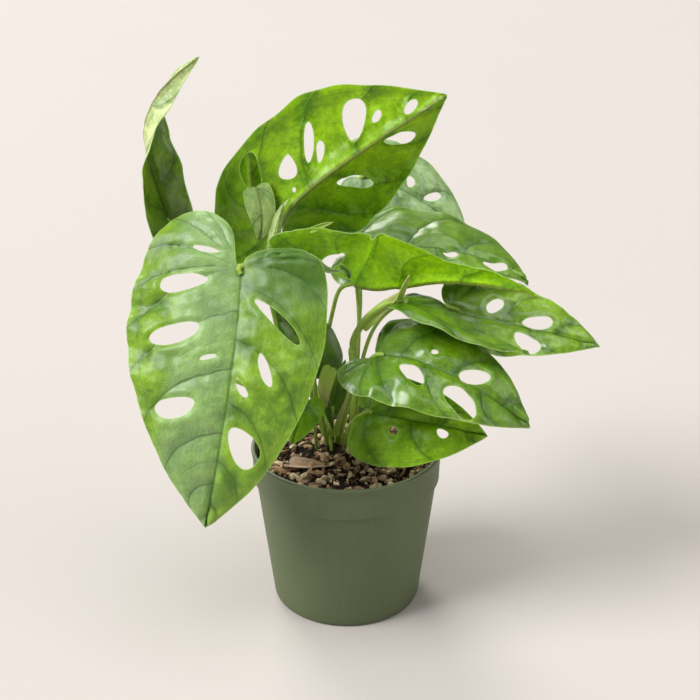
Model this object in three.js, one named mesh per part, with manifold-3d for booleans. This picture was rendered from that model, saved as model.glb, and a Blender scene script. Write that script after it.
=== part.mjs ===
// Potted swiss cheese vine: a climbing houseplant with holed, heart-shaped leaves in a green
// nursery pot. Millimetres, +Z up. The origin is the centre of the pot's underside, +X is to the
// right and -Y is the front of the plant.

import * as THREE from 'three';
import Module from 'manifold-3d';

const wasm = await Module();
wasm.setup();
const { Manifold, Mesh: SolidMesh } = wasm;

// Driving dimensions

const POT_HEIGHT = 95;
const POT_RIM_RADIUS = 54;
const POT_BASE_RADIUS = 42;
const POT_WALL = 1.8;
const POT_FLOOR = 2.4;
const BAND_BOTTOM = 76.5; // lower edge of the band under the rim
const BAND_STEP = 1.3; // how far the band stands out from the wall below it
const DRAIN_HOLES = 6;
const DRAIN_RADIUS = 3.5;
const DRAIN_RING = 28;

const GAP = 0.3; // clearance between neighbouring pieces
const SOIL_CENTRE = 89.5; // height of the soil in the middle of the pot
const SOIL_EDGE = 86.5;
const ROOT_DEPTH = 22; // how far a stem goes down into the soil
const CHIP_COUNT = 54;

const BLADE = 0.8; // thickness of a leaf
const RIB = 0.6; // extra thickness under the midrib at the leaf's base
const VEIN_RAKE = 0.45; // how far a side vein runs forward, per millimetre outward
const VEIN_SWEEP = 1.25;
const SLIVER = 0.05; // edges shorter than this are merged away

// Outline of half a leaf, from the notch at the stalk round the lobe to the tip: share of the
// half width, then share of the lobe's length (negative) or of the leaf's length (positive).
const MARGIN = [
  [0.03, -0.02], [0.1, -0.66], [0.4, -1], [0.76, -0.66], [0.97, 0.04],
  [1, 0.27], [0.84, 0.51], [0.52, 0.75], [0.18, 0.92], [0, 1],
];

// One entry for each leaf. midrib: four points of the curve from stalk to tip. face: way that
// the upper side faces at the base and at the tip. Pairs are for the two halves of the leaf:
// width and lobe in mm, fold (rise from the midrib) and curl (droop at the edge) in degrees,
// droop of the lobe in degrees, full (share added to the width near the tip), wave [height mm,
// count, phase of one half, phase of the other]. holes: two ends of each hole's long axis and
// its half width, on the flat leaf, and how much wider the far end is. stalk: the petiole from
// the soil up; stalkRadius: at its two ends; rooted false where it stands on the vine instead of
// in the soil. flaps: sheaths at the stalk, each with its own curve, facing and width. fine:
// closer grid for the large leaves.
const LEAVES = {
  leaf_front_left: {
    color: 0x7fae6e, fine: true,
    midrib: [[-55, -24, 212], [-54, -46, 185], [-62, -82, 146], [-74, -72, 83]],
    face: [[-0.15, -0.75, 0.65], [-0.1, -0.95, 0.25]],
    width: [60, 46], lobe: [36, 9], fold: [5, 5], curl: [20, 20], droop: [20, 20],
    wave: [1.6, 5, 0, 0.4],
    holes: [
      [11, -8.5, 25, -12.5, 1.5], [17.5, 6.5, 43, 9, 5.5], [19, 33.5, 45, 43.5, 5.5],
      [8.5, 48.5, 17, 51.5, 1.2], [16, 75, 36.5, 83.5, 5.5], [-9, 18.5, -33.5, 39, 3],
      [-13.5, 45.5, -21, 61, 2.5], [-3, 59.5, -10, 68, 2], [-5.5, 84.5, -19, 102, 7],
    ],
    stalk: [[-13, 25, 88], [-20, 12, 122], [-25, 12, 151], [-28, 6, 178], [-39, -10, 203],
      [-55, -24, 211.5]],
    stalkRadius: [1.7, 1.3],
  },
  leaf_top: {
    color: 0x4f9416, fine: true,
    midrib: [[-35.8, 20.5, 219.5], [-26.8, 12.4, 243.7], [12.9, 14.4, 264.3],
      [52.5, 21.2, 290.9]],
    face: [[-0.1, 0.93, 0.2], [0.1, 0.93, 0.2]],
    width: [41.7, 43.8], lobe: [37, 16], full: [1.15, 1.06], fold: [26.5, 19], curl: [6, 10],
    droop: [12, 10], wave: [1.4, 5, 0.07, 0.4],
    holes: [
      [18.3, 6.8, 37, 16.9, 4.5], [21.2, 30.3, 11.4, 22.2, 4.4, 0.7],
      [10.7, 36, 27.6, 47.8, 2.5], [7.5, 40.5, 16.4, 47.6, 2], [6.7, 61.5, 24.7, 74.5, 6],
      [8.8, 75.6, 12.3, 82, 2], [3.6, 92, 6.2, 101, 2.5], [15.4, 4.9, 17.3, 7.2, 1.5],
      [3.8, 20.1, 6.1, 21.3, 1], [-3.1, 74.7, -11.5, 90.5, 3.5],
      [-8.5, 40.6, -22.6, 56, 4.5],
    ],
    stalk: [[-19, 30, 88], [-29, 14, 125], [-38, 18, 157], [-43, 17, 186], [-42, 17, 207],
      [-35.8, 20.5, 219]],
    stalkRadius: [1.9, 1.4],
    flaps: [{ midrib: [[-41, 17, 208], [-39, 13, 216], [-37, 10, 224], [-33, 9, 236]],
      face: [[0.3, 0.9, 0.3], [0.3, 0.9, 0.3]], width: 3.5 }],
  },
  leaf_arched: {
    color: 0x86b41a, fine: true,
    midrib: [[4.8, -7, 196.2], [28, -9.3, 188.5], [47, -12.7, 210.5], [102.2, -24.4, 194.6]],
    face: [[0, 0.9, 0.45], [0.2, 0.85, 0.5]],
    width: [35.5, 18], lobe: [51, 8], full: [0.49, 1], fold: [9.5, 70], curl: [9, 10],
    droop: [15, 10], wave: [1.2, 4, 0.36, 0.3],
    holes: [[16.5, -10.4, 1.3, -20.6, 3.5]],
    stalk: [[-8, 21, 88], [-10, 10, 121], [-11, 9, 151], [-7, 3, 177], [-3, -3, 191],
      [4.8, -7, 195.7]],
    stalkRadius: [1.4, 1.1],
  },
  leaf_behind_arched: {
    color: 0x3c7d1c, fine: true,
    midrib: [[3, 34, 199], [41, 32, 208], [79, 24, 203], [101, 14, 187]],
    face: [[-0.1, -0.35, 0.93], [0.5, -0.3, 0.8]],
    width: [30, 38], lobe: [13, 18], fold: [5, 5], curl: [20, 20], droop: [10, 10],
    wave: [1.4, 4, 0, 0.4],
    holes: [[4, 52, 3.5, 61, 4], [6, 75.5, 0, 89.5, 4]],
    stalk: [[2, 27, 88], [5, 16, 121], [7, 24, 155], [6, 30, 177], [3, 34, 198.5]],
    stalkRadius: [1.4, 1],
  },
  leaf_right: {
    color: 0x5f9440, fine: false,
    midrib: [[58, 4, 177], [78, -2, 172], [107, -8, 169], [137, -14, 162]],
    face: [[0, -0.5, 0.85], [0.2, -0.6, 0.8]],
    width: [22, 31], lobe: [10, 10], fold: [5, 5], curl: [20, 20], droop: [10, 10],
    wave: [1.3, 4, 0.2, 0.6],
    holes: [[-4, 18.5, -13, 25, 3.5], [-2.5, 39, -6.5, 55, 3.5], [7, 36.5, 13, 51, 5]],
    stalk: [[6, 18, 88], [6, 2, 125], [10, -4, 154], [17, -3, 171], [28, -3, 181],
      [43, 0, 182], [58, 4, 176.5]],
    stalkRadius: [1.3, 1],
  },
  leaf_edge_on: {
    color: 0x47821a, fine: false,
    midrib: [[29, -20, 191], [44, -30, 192], [63, -38, 174], [97, -36, 168]],
    face: [[0.2, -0.1, 0.97], [0.3, 0.1, 0.9]],
    width: [10.5, 27.5], lobe: [6, 6], fold: [0, 0], curl: [20, 20], droop: [10, 10],
    wave: [1.2, 3, 0.2, 0.6],
    holes: [],
    stalk: [[3.7, -9.2, 159.9], [4.1, -10.3, 164], [6.5, -15.5, 172], [11, -20, 181],
      [19, -23, 189], [29, -20, 190.5]],
    stalkRadius: [2.05, 1.6],
    rooted: false,
    flaps: [{ midrib: [[27, -21, 192], [28, -23, 196], [30, -24, 201], [33, -24, 207]],
      face: [[0.6, -0.7, 0.3], [0.6, -0.7, 0.3]], width: 2.6 },
    { midrib: [[8.3, -16.5, 175.5], [12.4, -20.6, 183.4], [19.3, -23.4, 190.6], [30, -21.6, 197]],
      face: [[0.5, 0.5, -0.7], [0.3, 0.6, -0.7]], width: 5 }],
  },
  leaf_front_right: {
    color: 0x4a8a26, fine: true,
    midrib: [[16, -32, 165], [41, -42, 171], [69, -54, 158], [97, -52, 132]],
    face: [[0, -0.5, 0.85], [0.2, -0.75, 0.65]],
    width: [31, 32], lobe: [18, 3], fold: [15, 0], curl: [20, 25], droop: [-10, 10],
    wave: [1.3, 4, 0, 0.4],
    holes: [[5.5, 16, 14.5, 31, 4.5], [-1, 46, -8.5, 60.5, 4], [10, 42.5, 16.5, 62.5, 6.5],
      [-6.5, 28, -8.5, 31, 1.5]],
    stalk: [[2, 9, 88], [4, -22, 133], [8, -29, 154], [16, -32, 164.5]],
    stalkRadius: [1.6, 1.2],
  },
  leaf_low_right: {
    color: 0x3f7a16, fine: false,
    midrib: [[11, -20, 126], [29, -32, 127], [50, -40, 128], [76, -40, 121]],
    face: [[0, -0.7, 0.7], [0.1, -0.8, 0.6]],
    width: [28, 24], lobe: [6, 10], fold: [5, 5], curl: [30, 20], droop: [10, 10],
    wave: [1, 4, 0, 0.4],
    holes: [[6, 17, 9.5, 21.5, 2], [2.5, 42, 5.5, 48, 2.5]],
    stalk: [[-1.4, 4, 88], [2, -16, 115], [11, -20, 125.5]],
    stalkRadius: [1.5, 1.1],
  },
  leaf_curled: {
    color: 0x6d9a2a, fine: false,
    midrib: [[-96, 20, 219], [-106, 18, 259], [-119, 20, 282], [-76, 24, 310]],
    face: [[0.2, -0.95, 0.1], [0.75, 0.5, 0.2]],
    width: [16, 16], lobe: [5, 5], fold: [30, 40], curl: [-10, -10], droop: [10, 10],
    wave: [1.2, 4, 0, 0.4],
    holes: [[7, 66, 9, 70, 1.2], [4, 82, 4.5, 86, 1]],
    stalk: [[-24, 31, 88], [-39, 28, 108], [-75, 26, 127], [-103, 24, 135],
      [-115, 22, 153], [-114, 22, 180], [-108, 21, 204], [-96, 20, 218.5]],
    stalkRadius: [1.5, 1],
  },
  leaf_back_right: {
    color: 0x5b9450, fine: false,
    midrib: [[9, 88, 226], [31, 90, 221], [52, 90, 206], [72, 84, 190]],
    face: [[0, -0.75, 0.65], [0.2, -0.7, 0.7]],
    width: [24, 28], lobe: [12, 14], fold: [5, 5], curl: [20, 20], droop: [10, 10],
    wave: [1.2, 4, 0, 0.4],
    holes: [[-3.5, 29.5, -9.5, 27, 2.5], [-2, 40, -10, 47, 2.5]],
    stalk: [[-3, 38, 88], [2, 46, 114], [7, 60, 140], [7, 66, 170], [-5, 76, 192],
      [-2, 86, 212], [9, 88, 225.5]],
    stalkRadius: [1.4, 1],
  },
  leaf_behind_left: {
    color: 0x42801c, fine: false,
    midrib: [[-18, -4, 140], [-19, -8, 158], [-27, -10, 174], [-39, -8, 183]],
    face: [[0.3, -0.8, 0.5], [0.3, -0.8, 0.5]],
    width: [20, 18], lobe: [6, 6], fold: [5, 5], curl: [20, 20], droop: [10, 10],
    wave: [0.8, 3, 0, 0.4],
    holes: [],
    stalk: [[-10.5, 10, 88], [-14, 0, 112], [-17, -3, 126], [-18, -4, 139.5]],
    stalkRadius: [1.9, 1.1],
  },
  leaf_low_left: {
    color: 0x7fae2e, fine: false,
    midrib: [[-21, -13, 129], [-24, -19, 127], [-27, -25, 119], [-30, -26, 108]],
    face: [[-0.1, -0.8, 0.6], [-0.1, -0.8, 0.3]],
    width: [11, 11], lobe: [6, 6], fold: [5, 5], curl: [20, 20], droop: [10, 10],
    wave: [0.5, 3, 0, 0.4],
    holes: [],
    stalk: [[-17, 6, 88], [-18, -8, 114], [-21, -13, 128.5]],
    stalkRadius: [1.1, 0.8],
  },
  leaf_behind_top: {
    color: 0x7c9a2c, fine: false,
    midrib: [[-48, 46, 192], [-51, 46, 212], [-54, 46, 238], [-53, 46, 260]],
    face: [[0.1, 0.95, 0], [-0.1, 0.95, 0]],
    width: [13, 12], lobe: [5, 5], fold: [15, 15], curl: [10, 10], droop: [10, 10],
    wave: [0.5, 3, 0, 0.4],
    holes: [],
    stalk: [[-12, 34, 88], [-18, 40, 112], [-32, 45, 145], [-43, 46, 173], [-48, 46, 191.5]],
    stalkRadius: [1.2, 0.9],
  },
  leaf_inner: {
    color: 0x2f6416, fine: false,
    midrib: [[-8, 7.5, 112], [-6.5, 6.5, 121], [-3.5, 5.5, 132], [-0.5, 6, 145]],
    face: [[0.1, -0.95, 0.2], [0.1, -0.95, 0.2]],
    width: [7, 7], lobe: [3, 3], fold: [5, 5], curl: [10, 10], droop: [10, 10],
    wave: [0.4, 3, 0, 0.4],
    holes: [],
    stalk: [[-8.5, 3.5, 88], [-9.5, 6, 100], [-8, 7.5, 111.5]],
    stalkRadius: [1.1, 0.9],
  },
};

const VINE = {
  path: [[-5, 13, 88], [-2, 0, 112], [3, -8, 134], [3.6, -9, 159]],
  radius: [2.6, 2],
  knot: [0.48, 0.97], // share of the length where a leaf scar thickens the stem
};

const SCRAP = {
  midrib: [[-32, -14, 89.5], [-25, -19, 91], [-18, -20, 92], [-9, -16, 89.8]],
  face: [[0.1, -0.3, 1], [-0.1, -0.2, 1]], width: 5,
};

// Repeatable random numbers from 0 to 1.
function random(seed) {
  let state = seed;
  return () => {
    state = (state * 1664525 + 1013904223) % 4294967296;
    return state / 4294967296;
  };
}

// Closed body from points and triangles, turned so that its faces look out.
function body(points, triangles) {
  const at = (i) => points[i];
  let volume = 0;
  for (const [a, b, c] of triangles) {
    volume += at(a).dot(new THREE.Vector3().crossVectors(at(b), at(c)));
  }
  const outward = volume < 0 ? triangles.map(([a, b, c]) => [a, c, b]) : triangles;
  return new Manifold(new SolidMesh({
    numProp: 3,
    vertProperties: Float32Array.from(points.flatMap((p) => p.toArray())),
    triVerts: Uint32Array.from(outward.flat()),
  }));
}

// Body of a closed three.js geometry: its doubled points are joined first.
function solid(geometry) {
  const position = geometry.getAttribute('position');
  const order = geometry.index ? Array.from(geometry.index.array)
    : Array.from({ length: position.count }, (_, i) => i);
  const seen = new Map();
  const points = [];
  const joined = order.map((i) => {
    const p = new THREE.Vector3().fromBufferAttribute(position, i);
    const key = p.toArray().map((v) => Math.round(v * 1e4)).join();
    if (!seen.has(key)) {
      seen.set(key, points.length);
      points.push(p);
    }
    return seen.get(key);
  });
  const triangles = [];
  for (let i = 0; i < joined.length; i += 3) {
    const corners = joined.slice(i, i + 3);
    if (new Set(corners).size === 3) triangles.push(corners);
  }
  return body(points, triangles);
}

// The one connected body of a joined shape, without closed pockets, loose bits or slivers.
function whole(shape) {
  return shape.asOriginal().simplify(SLIVER).decompose().sort((a, b) => b.volume() - a.volume())[0];
}

// Turned body about +Z from [radius, height] points that start and end on the axis.
function turned(profile, segments) {
  const points = profile.map(([r, z]) => new THREE.Vector2(r, z));
  return new THREE.LatheGeometry(points, segments).rotateX(Math.PI / 2);
}

// Smooth curve through a row of points.
function curveThrough(points) {
  return new THREE.CatmullRomCurve3(points.map((p) => new THREE.Vector3(...p)), false,
    'catmullrom', 0.5);
}

// Round stem along a course; radiusAt gives its radius at a share of the length and drop
// lowers its foot.
function stem(course, radiusAt, sides, steps, drop = 0) {
  const curve = curveThrough(course);
  const { normals, binormals } = curve.computeFrenetFrames(steps, false);
  const points = [];
  const triangles = [];
  for (let i = 0; i <= steps; i++) {
    const centre = curve.getPointAt(i / steps);
    if (i === 0) centre.z -= drop;
    for (let k = 0; k < sides; k++) {
      const angle = (2 * Math.PI * k) / sides;
      points.push(centre.clone()
        .addScaledVector(normals[i], radiusAt(i / steps) * Math.cos(angle))
        .addScaledVector(binormals[i], radiusAt(i / steps) * Math.sin(angle)));
    }
  }
  for (let i = 0; i < steps; i++) {
    for (let k = 0; k < sides; k++) {
      const [a, b] = [i * sides + k, i * sides + ((k + 1) % sides)];
      triangles.push([a, b, b + sides], [a, b + sides, a + sides]);
    }
  }
  const last = steps * sides;
  for (let k = 1; k < sides - 1; k++) {
    triangles.push([0, k + 1, k], [last, last + k, last + k + 1]);
  }
  return body(points, triangles);
}

// Working form of a leaf: its midrib curve and the outline of each half on the flat leaf.
function leafForm(spec) {
  const rib = new THREE.CubicBezierCurve3(...spec.midrib.map((p) => new THREE.Vector3(...p)));
  const length = rib.getLength();
  const margin = [0, 1].map((half) => curveThrough(MARGIN.map(([across, along]) => [
    across * spec.width[half] * (along > 0.5 && spec.full ? spec.full[half] : 1),
    along < 0 ? along * spec.lobe[half] : along * length, 0])));
  return { ...spec, rib, length, margin };
}

// Simple pointed scale with the same make as a leaf.
function scaleForm({ midrib, face, width }) {
  return leafForm({ midrib, face, width: [width, width], lobe: [1, 1], fold: [35, 35],
    curl: [10, 10], droop: [0, 0], wave: [0, 1, 0, 0] });
}

// Point on the flat leaf: side 1 or -1, tau along the outline, t from midrib (0) to edge (1).
function flat(leaf, side, tau, t) {
  const [one, other] = leaf.margin.map((curve) => curve.getPoint(tau));
  const edge = side > 0 ? one : other;
  const start = Math.max(0, (one.y + other.y - VEIN_RAKE * (one.x + other.x)) / 2);
  return [side * t * edge.x, start + t ** VEIN_SWEEP * (edge.y - start)];
}

// Midrib point, its direction, the leaf's facing and the way across it at y on the flat leaf.
function frameAt(leaf, y) {
  const u = leaf.rib.getUtoTmapping(Math.min(Math.max(y / leaf.length, 0), 1));
  const along = leaf.rib.getTangent(u);
  const [first, last] = leaf.face.map((f) => new THREE.Vector3(...f).normalize());
  const facing = first.lerp(last, u);
  facing.addScaledVector(along, -facing.dot(along)).normalize();
  return { origin: leaf.rib.getPoint(u), along, facing, across: along.clone().cross(facing) };
}

// Bends a point of the flat leaf into place.
function bend(leaf, x, y, side = x >= 0 ? 1 : -1) {
  const half = side > 0 ? 0 : 1;
  const { origin, along, facing, across } = frameAt(leaf, y);
  const reach = Math.abs(x);
  const width = leaf.width[half];
  const fold = THREE.MathUtils.degToRad(leaf.fold[half]);
  const curl = THREE.MathUtils.degToRad(leaf.curl[half]) / width;
  const out = (Math.sin(fold) - Math.sin(fold - curl * reach)) / curl;
  let up = (Math.cos(fold - curl * reach) - Math.cos(fold)) / curl;
  const [height, count, ...phase] = leaf.wave;
  up += height * (reach / width) ** 2
    * Math.sin(2 * Math.PI * ((count * y) / leaf.length + phase[half]));
  let back = 0;
  if (y < 0) {
    const bow = THREE.MathUtils.degToRad(leaf.droop[half] || 0.01) / leaf.lobe[half];
    back = Math.sin(-bow * y) / bow;
    up -= (1 - Math.cos(bow * y)) / bow;
  }
  return origin.addScaledVector(across, side * out).addScaledVector(facing, up)
    .addScaledVector(along, -back);
}

// Upward normal of the bent leaf; on the midrib the mean of its two halves.
function normalAt(leaf, x, y) {
  if (Math.abs(x) < 1e-6) {
    const { facing, across } = frameAt(leaf, y);
    const [a, b] = leaf.fold.map(THREE.MathUtils.degToRad);
    return facing.multiplyScalar(Math.cos(a) + Math.cos(b))
      .addScaledVector(across, Math.sin(b) - Math.sin(a)).normalize();
  }
  const side = Math.sign(x);
  const step = 0.2;
  const slopeX = bend(leaf, x + step, y, side).sub(bend(leaf, x - step, y, side));
  const slopeY = bend(leaf, x, y + step, side).sub(bend(leaf, x, y - step, side));
  return slopeX.cross(slopeY).normalize();
}

// Leaf blade: both faces carry the same triangles and the outline is closed by a narrow wall.
function blade(leaf, rows, columns) {
  const places = [];
  const seen = new Map();
  const place = (x, y) => {
    const key = `${Math.round(x * 1e3)},${Math.round(y * 1e3)}`;
    if (!seen.has(key)) {
      seen.set(key, places.length);
      places.push([x, y]);
    }
    return seen.get(key);
  };
  const faces = [];
  for (const side of [1, -1]) {
    for (let i = 0; i < rows; i++) {
      for (let j = 0; j < columns; j++) {
        const [a, b, c, d] = [[i, j], [i, j + 1], [i + 1, j + 1], [i + 1, j]]
          .map(([row, column]) => place(...flat(leaf, side, row / rows, column / columns)));
        for (const face of [[a, b, c], [a, c, d]]) {
          if (new Set(face).size === 3) faces.push(side > 0 ? face : face.reverse());
        }
      }
    }
  }
  const count = places.length;
  const upper = [];
  const lower = [];
  for (const [x, y] of places) {
    const normal = normalAt(leaf, x, y);
    const rib = Math.abs(x) < 1e-6 ? RIB * (1 - y / leaf.length) : 0;
    upper.push(bend(leaf, x, y).addScaledVector(normal, BLADE / 2));
    lower.push(bend(leaf, x, y).addScaledVector(normal, -BLADE / 2 - rib));
  }
  const edges = new Set(faces.flatMap(([a, b, c]) => [`${a},${b}`, `${b},${c}`, `${c},${a}`]));
  const triangles = faces.flatMap(([a, b, c]) => [[a, b, c], [a + count, c + count, b + count]]);
  for (const edge of edges) {
    const [a, b] = edge.split(',').map(Number);
    if (!edges.has(`${b},${a}`)) triangles.push([b, a, a + count], [b, a + count, b + count]);
  }
  return body([...upper, ...lower], triangles);
}

// Prism that cuts one hole through the blade.
function punch(leaf, [x0, y0, x1, y1, halfWidth, taper = 0]) {
  const sides = halfWidth < 2.2 ? 7 : 10;
  const centre = [(x0 + x1) / 2, (y0 + y1) / 2];
  const axis = [(x1 - x0) / 2, (y1 - y0) / 2];
  const half = Math.hypot(...axis);
  const cross = [(-axis[1] * halfWidth) / half, (axis[0] * halfWidth) / half];
  const normal = normalAt(leaf, ...centre);
  const ring = Array.from({ length: sides }, (_, k) => {
    const angle = (2 * Math.PI * k) / sides;
    const wide = Math.sin(angle) * (1 + taper * Math.cos(angle));
    const [x, y] = [0, 1].map((i) => centre[i] + axis[i] * Math.cos(angle) + cross[i] * wide);
    return bend(leaf, x, y, Math.sign(centre[0]));
  });
  const points = [-3, 3].flatMap((d) => ring.map((p) => p.clone().addScaledVector(normal, d)));
  const triangles = [];
  for (let k = 0; k < sides; k++) {
    const next = (k + 1) % sides;
    triangles.push([k, next, next + sides], [k, next + sides, k + sides]);
    if (k > 0 && k < sides - 1) triangles.push([0, k + 1, k], [sides, sides + k, sides + k + 1]);
  }
  return body(points, triangles);
}

// Course of a stem with its root part: straight down into the soil under its first point.
function rooted(path) {
  const [x, y, z] = path[0];
  return [[x, y, z - ROOT_DEPTH], [x, y, z - ROOT_DEPTH / 2], ...path];
}

// What a stem takes out of the soil: its own form grown all round and under its foot.
function socket(course, radiusAt, sides, steps) {
  return stem(course, (u) => radiusAt(u) + 1.2 * GAP, sides, steps, GAP);
}

// Course, radius, sides and steps of a leaf's stalk.
function stalkOf(spec, leaf) {
  const run = spec.rooted === false ? spec.stalk : rooted(spec.stalk);
  const end = bend(leaf, 0, 4, 1).addScaledVector(frameAt(leaf, 4).facing, -0.9);
  const [r0, r1] = spec.stalkRadius;
  return [[...run, end.toArray()], (u) => r0 + (r1 - r0) * u, 6, 11];
}

// Blade with its holes, stalk and sheath joined in one body.
function leafBody(spec) {
  const leaf = leafForm(spec);
  const sheet = spec.fine ? blade(leaf, 16, 3) : blade(leaf, 10, 2);
  const cut = spec.holes.reduce((left, hole) => left.subtract(punch(leaf, hole)), sheet);
  const flaps = (spec.flaps ?? []).map((flap) => blade(scaleForm(flap), 6, 1));
  return whole(Manifold.union([cut, stem(...stalkOf(spec, leaf)), ...flaps]));
}

// Outer radius of the pot's tapered wall at a height, below the band.
function wallRadius(z) {
  const top = POT_RIM_RADIUS - 1.2 - BAND_STEP;
  return POT_BASE_RADIUS + ((top - POT_BASE_RADIUS) * z) / BAND_BOTTOM;
}

// Pot with its band, rolled lip and drain holes.
function potBody() {
  const band = wallRadius(BAND_BOTTOM) + BAND_STEP;
  const inner = (z) => wallRadius(z) - POT_WALL;
  const shell = solid(turned([
    [0, 0], [POT_BASE_RADIUS - 2.4, 0], [POT_BASE_RADIUS - 0.6, 0.7], [wallRadius(2.6), 2.6],
    [wallRadius(BAND_BOTTOM - 0.4), BAND_BOTTOM - 0.4], [band - 0.3, BAND_BOTTOM],
    [band, BAND_BOTTOM + 0.6], [POT_RIM_RADIUS - 0.7, POT_HEIGHT - 3.4],
    [POT_RIM_RADIUS, POT_HEIGHT - 2.6], [POT_RIM_RADIUS, POT_HEIGHT - 0.9],
    [POT_RIM_RADIUS - 0.8, POT_HEIGHT], [POT_RIM_RADIUS - 1.9, POT_HEIGHT],
    [POT_RIM_RADIUS - 2.5, POT_HEIGHT - 0.9], [inner(BAND_BOTTOM), BAND_BOTTOM],
    [inner(POT_FLOOR + 1.5), POT_FLOOR + 1.5], [inner(POT_FLOOR) - 1.5, POT_FLOOR],
    [0, POT_FLOOR],
  ], 46));
  let pot = shell;
  for (let k = 0; k < DRAIN_HOLES; k++) {
    const angle = (2 * Math.PI * (k + 0.5)) / DRAIN_HOLES;
    const hole = new THREE.CylinderGeometry(DRAIN_RADIUS, DRAIN_RADIUS, 12, 16)
      .rotateX(Math.PI / 2)
      .translate(DRAIN_RING * Math.cos(angle), DRAIN_RING * Math.sin(angle), 0);
    pot = pot.subtract(solid(hole));
  }
  return pot;
}

// Height of the soil at a distance from the middle of the pot.
function soilHeight(radius) {
  return SOIL_CENTRE + (SOIL_EDGE - SOIL_CENTRE) * (radius / 50) ** 2;
}

// Soil filling the pot: a bumpy top with chips in it, and sockets for the stems. Chips keep
// clear of the given [x, y, z, room] spots.
function soilBody(sockets, clear) {
  const inner = (z) => wallRadius(z) - POT_WALL - GAP;
  const rings = [47, 34, 20];
  const geometry = turned([
    [0, POT_FLOOR + GAP], [inner(POT_FLOOR) - 1.8, POT_FLOOR + GAP],
    [inner(POT_FLOOR + 2), POT_FLOOR + 2], [inner(SOIL_EDGE - 1), SOIL_EDGE - 1],
    [inner(SOIL_EDGE) - 1, SOIL_EDGE - 0.2],
    ...rings.map((r) => [r, soilHeight(r)]), [0, SOIL_CENTRE],
  ], 30);
  const position = geometry.getAttribute('position');
  for (let i = 0; i < position.count; i++) {
    const [x, y, z] = [position.getX(i), position.getY(i), position.getZ(i)];
    const radius = Math.hypot(x, y);
    if (z > SOIL_EDGE && radius > 1 && radius < 46) {
      position.setZ(i, z + 0.7 * Math.sin(0.31 * x + 1) * Math.cos(0.27 * y));
    }
  }
  const draw = random(7);
  const chips = [];
  while (chips.length < CHIP_COUNT) {
    const radius = 46 * Math.sqrt(draw());
    const angle = 2 * Math.PI * draw();
    const size = 1.6 + 1.7 * draw();
    const spot = new THREE.Vector3(radius * Math.cos(angle), radius * Math.sin(angle),
      soilHeight(radius) + 0.2);
    const turn = new THREE.Euler(6 * draw(), 6 * draw(), 6 * draw());
    const shape = new THREE.Vector3(size * 1.5, size, size * 0.8);
    if (clear.some(([x, y, , room]) => Math.hypot(spot.x - x, spot.y - y) < room + size * 1.5)) {
      continue;
    }
    chips.push(solid(new THREE.OctahedronGeometry(1, 0).applyMatrix4(new THREE.Matrix4()
      .compose(spot, new THREE.Quaternion().setFromEuler(turn), shape))));
  }
  const filled = Manifold.union([solid(geometry), ...chips]);
  return whole(sockets.reduce((left, cut) => left.subtract(cut), filled));
}

// Radius of the vine's main stem, thicker at each leaf scar.
function vineRadius(u) {
  const [foot, tip] = VINE.radius;
  return foot + (tip - foot) * u
    + 0.5 * VINE.knot.reduce((sum, at) => sum + Math.exp(-(((u - at) / 0.03) ** 2)), 0);
}

// Named mesh of a body.
function part(name, shape, color, roughness) {
  const { vertProperties, triVerts, numProp } = shape.getMesh();
  const geometry = new THREE.BufferGeometry();
  const position = new Float32Array((vertProperties.length / numProp) * 3);
  for (let i = 0; i < position.length / 3; i++) {
    position.set(vertProperties.subarray(i * numProp, i * numProp + 3), i * 3);
  }
  geometry.setAttribute('position', new THREE.BufferAttribute(position, 3));
  geometry.setIndex(new THREE.BufferAttribute(Uint32Array.from(triVerts), 1));
  const mesh = new THREE.Mesh(geometry,
    new THREE.MeshStandardMaterial({ color, roughness, metalness: 0 }));
  mesh.name = name;
  return mesh;
}

const plant = new THREE.Group();
plant.name = 'potted_swiss_cheese_vine';

plant.add(part('pot', potBody(), 0x78866b, 0.6));

const scrap = scaleForm(SCRAP);
const standing = Object.values(LEAVES).filter((spec) => spec.rooted !== false);
const vine = [rooted(VINE.path), vineRadius, 8, 20];
const sockets = [socket(...vine),
  ...standing.map((spec) => socket(...stalkOf(spec, leafForm(spec))))];
const clear = [[...VINE.path[0], 5], ...standing.map(({ stalk }) => [...stalk[0], 4]),
  ...[-28, -20, -12].map((x) => [x, -17, 0, 7])];

plant.add(part('soil', soilBody(sockets, clear), 0x4a3a2c, 0.95));
plant.add(part('vine_stem', stem(...vine), 0x8aa05a, 0.55));
for (const [name, spec] of Object.entries(LEAVES)) {
  plant.add(part(name, leafBody(spec), spec.color, 0.45));
}
plant.add(part('dried_leaf_scrap', blade(scrap, 8, 2), 0xb49a78, 0.85));

export default plant;
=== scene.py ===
"""Potted swiss cheese vine: the finished plant and its pot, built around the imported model.

Leaves are drawn flat in millimetres, cut, bent along their midribs and given two faces. Every
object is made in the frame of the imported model, with the centre of the pot's underside as origin.
"""

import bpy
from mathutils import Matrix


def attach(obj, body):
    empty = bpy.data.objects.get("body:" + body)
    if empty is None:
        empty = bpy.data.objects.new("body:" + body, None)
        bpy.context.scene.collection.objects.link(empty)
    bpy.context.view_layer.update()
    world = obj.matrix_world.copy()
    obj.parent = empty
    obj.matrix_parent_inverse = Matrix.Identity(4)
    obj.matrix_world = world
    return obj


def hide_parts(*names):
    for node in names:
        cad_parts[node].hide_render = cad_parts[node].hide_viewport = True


bl_info = {
    "name": "Potted Swiss Cheese Vine",
    "version": (1, 0, 0),
    "blender": (4, 5, 0),
    "location": "View3D > Sidebar > Swiss Vine",
    "description": "Builds a climbing houseplant with holed leaves in a green nursery pot",
    "category": "Add Mesh",
}

import math

import bpy
import numpy as np
from bpy.props import FloatProperty, FloatVectorProperty, IntProperty, PointerProperty
from bpy.types import Operator, Panel, PropertyGroup
from mathutils import Vector
from mathutils.geometry import delaunay_2d_cdt

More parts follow.
